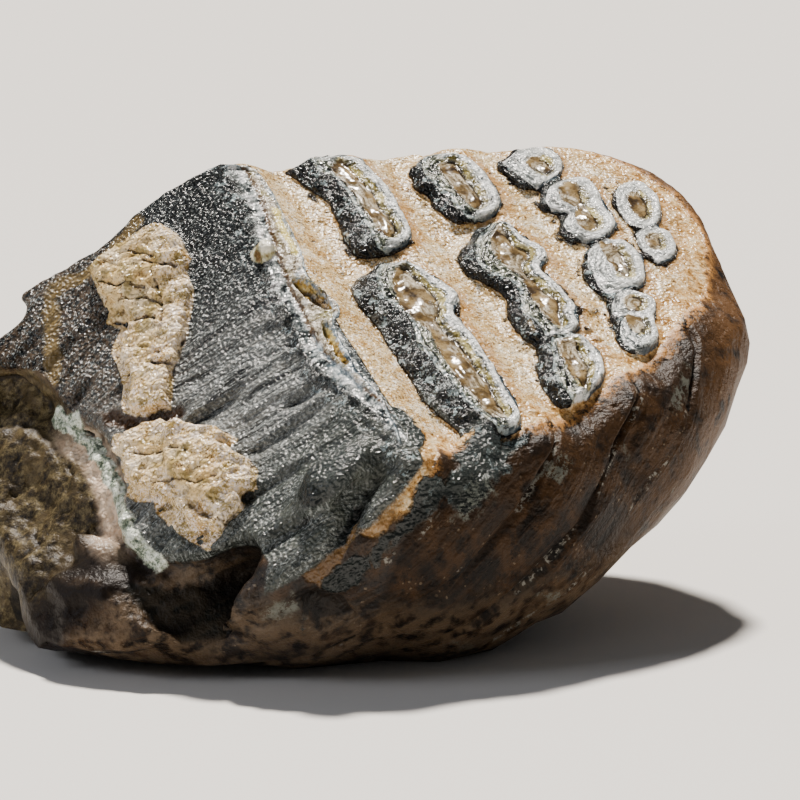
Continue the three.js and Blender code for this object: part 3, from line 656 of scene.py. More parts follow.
def softenFacets(piece):
    mesh = piece.data
    points, edges = readPoints(mesh), readEdges(mesh)
    table = onTable(points)
    points = relax(points, edges, np.where(table, 0.0, 1.0), skin["evenSmoothing"])
    at = readFields(points)
    t, f = at["tooth"], at["front"]
    nearRim = np.maximum(np.maximum(at["rim"], at["ring"]), np.where(t[:, 2] > -9, at["band"], -10))
    free = smoothStep(-nearRim, 0.6, 3.5)
    onFront = hump(f[:, 2], 0, 2.5) * smoothStep(-f[:, 0], 2, 6)
    weight = np.maximum(free, 0.55 * onFront)
    weight = np.where(at["patch"] > -1.5, 0.25, weight)
    weight = np.where(table, 0.0, weight)
    points = relax(points, edges, weight, skin["softSmoothing"])
    bevel = hump(f[:, 0], -3, 4) * hump(f[:, 2], 0, 3) * hump(f[:, 1], 6, 22)
    points = relax(points, edges, np.clip(bevel * 1.3, 0, 1), skin["bevelSmoothing"])
    writePoints(mesh, points)
    print("facets softened")


# Heights of the carved relief in millimetres
heights = {
    "crestBehind": 0.6,  # worn loops: crest of the rim behind and before the dentine
    "crestBefore": 0.2,
    "shoulderBehind": 0.25,  # how far the outer edge of the rim is rounded off
    "shoulderBefore": 1.0,
    "dentine": -0.75,
    "dentineBulge": 0.85,
    "dentineGap": 1.0,
    "dentineFill": 0.35,
    "lowLoop": 0.1,
    "bandCrest": 0.35,  # worn band of plate one
    "bandSeam": 0.3,
    "bandStripes": 0.14,
    "yellowStreak": 0.35,
    "pocket": 1.7,
    "pocketLip": 0.25,
    "cementPit": 0.4,
    "cementGap": 0.55,
    "ribGroove": 1.25,  # bare front
    "crevice": 0.7,
    "wornLedge": 0.35,
    "flake": 0.42,  # clinging cement
    "smallFlake": 0.34,
    "flakeStep": 0.32,
    "coreRidge": 0.8,  # foot
    "coreSunk": 0.6,
    "shellCrest": 1.3,
    "plateGroove": 1.1,  # sides
    "plateLip": 0.3,
    "sidePit": 0.5,
}

# Noise in the relief: height in millimetres, millimetres between bumps and seed of each layer
reliefNoise = {
    "rimBeads": ((0.2, 1.7, 11), (0.36, 3.1, 12)),
    "dentine": ((0.5, 4.2, 14),),
    "dentineGap": ((0.9, 3.2, 15),),
    "wornGrain": ((0.2, 1.05, 16), (0.14, 1.9, 17)),
    "bandWaves": ((2.2, 5, 18),),
    "bandSwell": ((0.16, 2.1, 19),),
    "pocketChain": ((0.5, 2.2, 20),),
    "wallFlutes": ((0.3, 2.1, 21),),
    "wallBeads": ((0.28, 1.4, 22), (0.6, 2.9, 23)),
    "cementSwell": ((0.30, 6.5, 31), (0.12, 2.6, 32)),
    "cementGrain": ((0.12, 1.1, 33),),
    "cementPits": ((1, 1.9, 34),),
    "cementEdge": ((0.25, 2.8, 35),),
    "ribGrooves": ((1, 3.2, 41),),
    "ribLines": ((0.45, 1.7, 42),),
    "ribThreads": ((0.1, 0.9, 46),),
    "frontGrain": ((0.10, 1.1, 43), (0.12, 2.4, 44)),
    "frontSwell": ((0.4, 10, 45),),
    "frontKnuckles": ((0.85, 2.2, 49),),
    "wearBeads": ((0.2, 1.2, 47), (0.2, 2.3, 48)),
    "patchGrain": ((0.14, 1.2, 57), (0.1, 2.4, 58)),
    "coreGrain": ((0.34, 2.6, 62), (0.2, 1.4, 63)),
    "hollow": ((0.7, 2.6, 64),),
    "shellWander": ((0.6, 3, 65),),
    "shellGrain": ((0.4, 1.6, 66),),
    "sideSwell": ((0.7, 12, 71), (0.26, 4.6, 72)),
    "sideGrain": ((0.13, 2.0, 73), (0.08, 1.2, 74)),
    "sideStreaks": ((0.16, 3.4, 75),),
    "lineFade": ((1, 15, 77),),
    "sidePits": ((1, 2.4, 78),),
    "knobs": ((1, 2.7, 79),),
    "spotBlocks": ((0.5, 3.0, 80), (0.25, 1.5, 81)),
}


def noiseFor(name, points):
    return sum(height * latticeNoise(points, cell, seed) for height, cell, seed in reliefNoise[name])


def loopTop(points, at):
    # height of a worn loop over the chewing surface: the rims stand up, broad and rounded off in front,
    # narrow and crested behind, and the dentine between them bulges up from a sunk gap that is painted dark
    # as shade
    d, b, share = at["ring"], at["basin"], at["share"]
    behind = smoothStep(-at["facing"], -0.25, 0.45)
    before = 1 - behind
    crest = behind * heights["crestBehind"] * hump(share, 0.42, 0.32)
    crest = crest + before * heights["crestBefore"] * hump(share, 0.5, 0.4)
    shoulder = -heights["shoulderBefore"] * before * (1 - smoothStep(d, 0, 2.0))
    shoulder = shoulder - heights["shoulderBehind"] * behind * (1 - smoothStep(d, 0, 0.5))
    bulge = heights["dentineBulge"] * smoothStep(b, 0.1, 1.3) * (0.85 + noiseFor("dentine", points))
    dentine = heights["dentine"] + bulge
    dentine -= heights["dentineGap"] * hump(b, 0.15, 0.55) * behind * (0.8 + noiseFor("dentineGap", points))
    dentine += heights["dentineFill"] * before * (1 - smoothStep(b, 0.2, 1.0))
    height = crest + shoulder + noiseFor("rimBeads", points)
    height = height + smoothStep(b, -0.3, 0.25) * (dentine - height)
    return height * at["relief"] - heights["lowLoop"] * (1 - at["relief"])


def chewingRelief(points, at):
    # fine heights square to the chewing surface: beads on the rims, ripples in the dentine and the band
    t, band = at["tooth"], at["band"]
    onTop = smoothStep(at["ring"], 0.1, 0.6) * smoothStep(t[:, 2], -2.6, -2.0)
    rough = noiseFor("wornGrain", points)
    height = onTop * rough * (1 - 0.85 * smoothStep(at["basin"], 0, 0.5)) * (0.4 + 0.6 * at["relief"])
    onBand = smoothStep(t[:, 2], -1.8, -0.6) * smoothStep(band, 0, 0.4) * smoothStep(-band, -9, -7.5)
    stripes = heights["bandStripes"] * np.sin(band * 4.6 + noiseFor("bandWaves", points))
    stripes = stripes + noiseFor("bandSwell", points)
    crest = heights["bandCrest"] * hump(band, 0.75, 0.45) - heights["bandSeam"] * hump(band, 1.7, 0.35)
    height += onBand * (crest + stripes + 0.8 * rough)
    height += onBand * heights["yellowStreak"] * hump(at["streak"], 0, 0.7)
    chain = 1 + noiseFor("pocketChain", points)
    sunk = smoothStep(at["pocket"], -0.3, 0.8) * heights["pocket"]
    height -= sunk * chain * smoothStep(t[:, 2], -5, -3)
    height += heights["pocketLip"] * hump(at["pocket"], -0.6, 0.5) * smoothStep(t[:, 2], -3, -1)
    for centre, radius, rise in bumps:
        gap = np.linalg.norm(t - np.array(centre), axis=1)
        height += rise * (1 - smoothStep(gap, radius * 0.35, radius))
    return height


def wallRelief(points, at):
    # bare enamel of the loops below their rims: beads and knuckles, stronger towards the top
    t = at["tooth"]
    onWall = smoothStep(at["rim"], -2.4, -1.2) * smoothStep(-at["rim"], -2.2, -1.4)
    onWall *= smoothStep(-at["ring"], -0.5, 0.1) * smoothStep(at["wallHeight"], 0.2, 0.9)
    along = np.stack([at["plateX"] / 2, t[:, 1], t[:, 2] / 4], 1)
    return onWall * (noiseFor("wallFlutes", along) + noiseFor("wallBeads", points))


def cementRelief(points, at):
    # worn cement between the plates: gentle swells, open pits and a ragged edge where it meets a plate
    offRing = smoothStep(-at["ring"], 0.0, 0.4)
    between = smoothStep(-at["rim"], 0.2, 0.9) * offRing * smoothStep(at["tooth"][:, 2], -7, -4.5)
    between *= smoothStep(at["tan"], -2, 1) * smoothStep(-at["band"], -0.2, 0.5)
    swell = noiseFor("cementSwell", points) * smoothStep(-at["rim"], 1.0, 4.0)
    pits = -heights["cementPit"] * smoothStep(noiseFor("cementPits", points), 0.66, 0.88)
    ragged = at["wallHeight"] + noiseFor("cementEdge", points)
    gap = -heights["cementGap"] * hump(ragged, 0.45, 0.22) * smoothStep(at["rim"], -3.5, -2.0)
    return between * (swell + noiseFor("cementGrain", points) + pits) + offRing * gap


def frontRelief(points, at):
    # bare front of plate one: uneven ribs run down it and bend to the near side at its foot
    f = at["front"]
    s, y = f[:, 0], f[:, 1]
    bare = hump(f[:, 2], 0, 2.2) * smoothStep(-at["patch"], -0.2, 0.6) * smoothStep(-at["core"], -0.3, 0.6)
    bare *= smoothStep(-s, 0.5, 2.5)
    along = np.stack([s / 8, at["ribAcross"], f[:, 2]], 1)
    ribbed = smoothStep(-y, -26, -8) * smoothStep(-s, 3, 11)
    ribbed = np.maximum(ribbed, smoothStep(-s, 20, 30) * smoothStep(y, 16, 26))
    grooves = -heights["ribGroove"] * smoothStep(noiseFor("ribGrooves", along), 0.08, 0.5)
    grooves = grooves - noiseFor("ribLines", along)
    threads = noiseFor("ribThreads", np.stack([s / 5, at["ribAcross"], f[:, 2]], 1))
    worn = smoothStep(at["wear"], -0.6, 0.9) * smoothStep(-s, -0.5, 1.0)
    knuckles = noiseFor("frontKnuckles", points) * hump(at["wear"], -1.6, 2.4) * smoothStep(-y, -30, -12)
    ledge = heights["wornLedge"] * (hump(at["wear"], 0.2, 0.7) - hump(at["wear"], 3.4, 0.45))
    height = -heights["crevice"] * hump(at["crevice"], 0, 1.3) * bare
    height += bare * (grooves * ribbed * (1 - worn) + threads + noiseFor("frontGrain", points)
                      + knuckles + noiseFor("frontSwell", points) * (1 - worn))
    onEdge = hump(f[:, 2], -0.4, 1.5) * worn * smoothStep(-s, 0.2, 1.4)
    return height + onEdge * (ledge + noiseFor("wearBeads", points))


def patchRelief(points, at):
    # clinging cement broke off in thin flakes: flat angular facets, low steps and a few open cracks
    inside = smoothStep(at["patch"], -0.5, 0.3)
    flat = flakeFrame(at)
    flakes = heights["flake"] * facetNoise(flat, 4.6, 5) + heights["smallFlake"] * facetNoise(flat, 2.0, 6)
    layered = smoothStep(at["front"][:, 1], 18, 28)
    turns = flat[:, 0] / 2.9 + 0.5 * facetNoise(flat, 6.0, 8)
    share = turns - np.floor(turns)
    steps = heights["flakeStep"] * (share - 0.5 - smoothStep(share, 0.88, 0.98))
    return inside * (flakes + steps * layered + noiseFor("patchGrain", points) - at["crack"])


def coreRelief(points, at):
    # the broken core and the root base: rough, with clefts
    inside = smoothStep(at["core"], 0.2, 2.0) * smoothStep(-at["front"][:, 2], 0.6, 2.4)
    ridge = 1 - np.abs(layeredNoise(points, 8, 61, 3)) * 2.2
    rough = heights["coreRidge"] * ridge + noiseFor("coreGrain", points) - heights["coreSunk"]
    dark = smoothStep(at["hollow"], -0.5, 2)
    return inside * (1 - dark) * rough + dark * (noiseFor("hollow", points) - heights["coreSunk"])


def edgeStripRelief(points, at):
    # the enamel shell breaks off along a raised pale edge
    f = at["front"]
    there = smoothStep(-f[:, 2], -1.5, 0.5) * smoothStep(f[:, 2], -8.5, -6)
    crest = heights["shellCrest"] * hump(at["strip"] + noiseFor("shellWander", points), 0.3, 1.2)
    return there * (crest + hump(at["strip"], 0, 2.5) * noiseFor("shellGrain", points))


def sideRelief(points, at):
    # brown cement of the sides, base and back: swells, fine grain, few plate edges and a knobbly patch
    t, f = at["tooth"], at["front"]
    onSide = smoothStep(-t[:, 2] - 1.2 * np.maximum(-at["tan"], 0), 3, 7)
    onSide = np.maximum(onSide, smoothStep(-at["tan"], 0.5, 3))
    offFront = 1 - hump(f[:, 2], 0, 2.6) * smoothStep(-f[:, 0], 0, 2) * smoothStep(-at["core"], -1, 1)
    along = np.stack([at["plateX"], t[:, 1] / 5, t[:, 2] / 5], 1)
    fade = smoothStep(noiseFor("lineFade", points), -0.45, 0.35)
    groove = -heights["plateGroove"] * hump(at["line"], 0, sideLines["width"]) * fade
    lip = heights["plateLip"] * hump(at["line"], 2.0, 0.8) * fade
    pits = -heights["sidePit"] * smoothStep(noiseFor("sidePits", points), 0.68, 0.86)
    gap = np.linalg.norm(t - np.array(knobs["at"]), axis=1)
    lumps = smoothStep(-gap, -knobs["radius"], -knobs["radius"] * 0.5) * np.abs(noiseFor("knobs", points))
    spotted = smoothStep(np.maximum(at["enamelSpot"], at["ochreSpot"]), -0.5, 1)
    blocky = spotted * noiseFor("spotBlocks", points)
    calm = (groove + lip + noiseFor("sideStreaks", along)) * (1 - spotted)
    rough = noiseFor("sideSwell", points) + noiseFor("sideGrain", points) + calm + pits + lumps + blocky
    return onSide * np.clip(offFront, 0, 1) * rough


def easeOff(values, limit, margin):
    # values that near the limit are pressed together, so that none passes it
    over = values - (limit - margin)
    held = limit - margin * np.exp(-np.maximum(over, 0) / margin)
    return np.where(over > 0, held, values)


def carveRelief(piece):
    mesh = piece.data
    points, normals = readPoints(mesh), readNormals(mesh)
    at = readFields(points)
    low = np.array(cadLow) / metresPerMm
    high = np.array(cadHigh) / metresPerMm
    clear = smoothStep(points[:, 2] - low[2], 0.2, skin["baseHeight"] + 3)
    up = np.array(toothMatrix.to_3x3().col[2])
    raised = chewingRelief(points, at)
    along = sum(relief(points, at) for relief in (
        wallRelief, cementRelief, frontRelief, patchRelief, coreRelief, edgeStripRelief, sideRelief))
    points = points + (raised[:, None] * up + along[:, None] * normals) * clear[:, None]
    margin = skin["edgeMargin"]
    for axis in range(3):
        points[:, axis] = easeOff(points[:, axis], high[axis], margin)
        if axis < 2:
            points[:, axis] = -easeOff(-points[:, axis], -low[axis], margin)
    points[:, 2] = np.maximum(points[:, 2], low[2])
    writePoints(mesh, points)
    print("relief carved")


def thinSkin(piece):
    # fewer faces where the surface is plain, most of them kept for the chewing surface and the front
    mesh = piece.data
    mesh.calc_loop_triangles()
    count = len(mesh.loop_triangles)
    points = readPoints(mesh)
    t, f = intoFrame(points, toothMatrix), intoFrame(points, frontMatrix)
    fine = (t[:, 2] > -7) | ((np.abs(f[:, 2]) < 8) & (f[:, 0] < 2))
    group = piece.vertex_groups.new(name="plain")
    for chosen, weight in ((fine, skin["fineWeight"]), (~fine, 1.0)):
        group.add([int(i) for i in np.flatnonzero(chosen)], weight, "REPLACE")
    applyModifier(
        piece, "DECIMATE", decimate_type="COLLAPSE", ratio=skin["triangles"] / count,
        use_collapse_triangulate=True, vertex_group="plain", vertex_group_factor=1.0,
    )
    piece.vertex_groups.clear()
    points = readPoints(piece.data)
    points[:, 2] = np.maximum(points[:, 2], 0)
    writePoints(piece.data, points)
    print("skin thinned:", len(piece.data.polygons), "faces from", count)


def markSurface(piece):
    # the distances that the material reads, and how hollow each place is
    mesh = piece.data
    points, normals, edges = readPoints(mesh), readNormals(mesh), readEdges(mesh)
    at = readFields(points)
    soft = points
    for _ in range(skin["cavityRounds"]):
        soft = soft + skin["cavityShare"] * (neighbourMean(soft, edges) - soft)
    cavity = ((soft - points) * normals).sum(1)
    behind = np.where(at["facing"] < 0, -at["ring"], 10)
    marks = {
        "rimDistance": at["rim"],
        "ringDistance": at["ring"],
        "rimShare": at["share"],
        "rimFacing": at["facing"],
        "behindRim": behind,
        "bandDistance": at["band"],
        "basinDistance": at["basin"],
        "pocketDistance": at["pocket"],
        "pearlDistance": at["pearl"],
        "streakDistance": at["streak"],
        "chewHeight": at["tooth"][:, 2],
        "wallHeight": at["wallHeight"],
        "frontHeight": at["front"][:, 2],
        "frontGap": np.abs(at["front"][:, 2]) + 3 * np.maximum(at["front"][:, 0] - 2, 0),
        "siltDistance": at["silt"],
        "creviceDistance": at["crevice"],
        "frontUp": at["front"][:, 0],
        "frontAcross": at["front"][:, 1],
        "ribAcross": at["ribAcross"],
        "wearDistance": at["wear"],
        "patchDistance": at["patch"],
        "crackDepth": at["crack"],
        "coreDistance": at["core"],
        "hollowDistance": at["hollow"],
        "stripDistance": at["strip"],
        "tanDistance": at["tan"],
        "plateX": at["plateX"],
        "enamelSpot": at["enamelSpot"],
        "ochreSpot": at["ochreSpot"],
        "fleckSpot": at["fleck"],
        "lineDistance": at["line"],
        "cavity": cavity,
    }
    for name, values in marks.items():
        attribute = mesh.attributes.new(name, "FLOAT", "POINT")
        attribute.data.foreach_set("value", values.astype(np.float32))
    print("surface marked, cavity", cavity.std().round(3))


piece = growSkin()
softenFacets(piece)
shapeForms(piece)
carveRelief(piece)
thinSkin(piece)
markSurface(piece)
select(piece)
bpy.ops.object.shade_smooth()


# Noise on the piece's own coordinates: millimetres between bumps, octaves beyond the first, roughness
noises = {
    "dust": (0.36, 3.0, 0.6),
    "sand": (1.0, 3.0, 0.6),
    "scallop": (3.4, 3.0, 0.6),
    "blotch": (6.0, 3.0, 0.6),
    "cloud": (21.0, 3.0, 0.6),
    "clump": (2.6, 4.0, 0.85),  # breaks up into grains, for everything that glitters
    "grit": (0.75, 0.0, 0.5),
    "swell": (3.2, 0.0, 0.5),
}

# Noise drawn out along a tissue: its coordinates and the factor on each, scale, octaves, roughness
drawnOut = {
    "streak": ((("plateX", 1.0), ("placeY", 140.0), ("placeZ", 140.0)), 0.4, 4.0, 0.6),
    "layers": ((("ringDistance", 1.0), ("placeX", 260.0), ("placeY", 260.0)), 1.5, 2.0, 0.6),
    "ribs": ((("frontUp", 0.12), ("ribAcross", 1.0), ("ringDistance", 1.0)), 0.5, 3.0, 0.7),
    "hair": ((("frontUp", 0.62), ("ribAcross", 1.0), ("ringDistance", 1.0)), 2.6, 3.0, 0.7),
    "stripes": ((("bandDistance", 1.0), ("frontAcross", 0.12)), 1.6, 4.0, 0.7),
}

cells = {
    "grain": 0.45,  # mm between cells
    "bead": 0.95,
    "crack": 11.0,
    "bend": 3.4,  # mm between the bends of the cracks, and how far these go in metres
    "bendReach": 0.007,
    "spread": (0.3, 0.7),  # the part of a noise that is stretched to -1 and 1 to break up a line
    "lineCore": 0.35,  # share of a line's half width that has its full strength
}

# How a spec reads. ("cloud", 0.44, 0.58) goes from 0 to 1 as that pattern or distance goes from the first
# number to the second. A further number moves the line by that much of a noise: fine, or the one named.
# ("line", name, centre, half width) is 1 on a line. "all" multiplies, "any" takes the most and "sum" adds
# pairs of a pattern and its share. A plain number is a share.
named = {
    "salt": ("sum", ("dust", 0.5), ("clump", 0.5)),
    "silverSalt": ("sum", ("salt", 0.45), ("layers", 0.55)),
    "oliveSalt": ("sum", ("salt", 0.5), ("layers", 0.5)),
    "bandSalt": ("sum", ("stripes", 0.5), ("salt", 0.5)),
    "offLoops": ("ringDistance", -2.5, -5.0),
    "byLoops": ("ringDistance", -4.5, -3.5),
    "lowFront": ("all", ("frontAcross", 34.0, -10.0), ("frontUp", -4.0, -13.0), "offLoops"),
    "upWall": ("all", "byLoops", ("wallHeight", 0.8, 3.2)),
    # stroke: lifted low on the front (painted haze) and near the tops of the walls (painted highlights)
    "stroke": ("sum", ("hair", 0.5), ("salt", 0.5), ("lowFront", 0.03), (("all", "byLoops", "swell"), 0.22),
               ("byLoops", -0.166), ("upWall", 0.05)),
    "rimBehind": ("rimFacing", 0.3, -0.4),
    "rimBefore": ("rimFacing", -0.4, 0.3),
    "oliveRim": ("all", "rimBefore", ("plateX", 42.0, 33.0)),
    "wideBasin": ("sum", ("rimBefore", 0.8), ("basinDistance", 1.0)),
    "onTan": ("all", ("tanDistance", -0.8, 0.8, 0.9, "broad"), ("chewHeight", -10.0, -7.5, 1.0, "broad")),
    "onCore": ("all", ("coreDistance", -0.6, 1.0, 0.9, "broad"), ("frontHeight", 0.5, -0.8),
               ("frontAcross", -24.0, -19.0, 2.0, "broad")),
    "onFront": ("all", ("frontGap", 3.2, 2.4, 0.2), ("coreDistance", 0.4, -0.3, 0.3)),
    "onWall": ("all", ("wallHeight", 0.15, 0.45, 0.42, "broad"), ("rimDistance", -2.2, -1.5),
               ("ringDistance", 0.5, 0.2), ("chewHeight", -13.0, -11.0)),
    "onPlateEnd": ("all", ("enamelSpot", -0.3, 0.4, 0.8, "broad"), ("ringDistance", -0.2, -1.5)),
    "calmEnd": ("all", "onPlateEnd", ("frontGap", 2.4, 3.6)),
    "onLoop": ("all", ("ringDistance", -0.1, 0.12, 0.12), ("chewHeight", -2.6, -2.0, 0.15)),
    "onBand": ("all", ("bandDistance", -0.1, 0.15, 0.1), ("wearDistance", 0.0, 1.0),
               ("chewHeight", -4.8, -3.8, 0.15)),
    "onWear": ("all", ("wearDistance", -1.0, 0.9, 1.1), ("frontGap", 3.0, 2.2), ("frontUp", 2.0, 1.0),
               ("frontAcross", -31.0, -25.0)),
    "onWornEdge": ("any", "onWear", "onBand"),
    "onPearl": ("pearlDistance", 0.1, 0.5, 0.2),
    "dull": ("any", ("all", ("tanDistance", 0.5, -1.5), ("frontGap", 2.4, 3.6)),
             ("hollowDistance", -1.0, 0.5), ("frontUp", -52.0, -56.0), "onCore"),
}

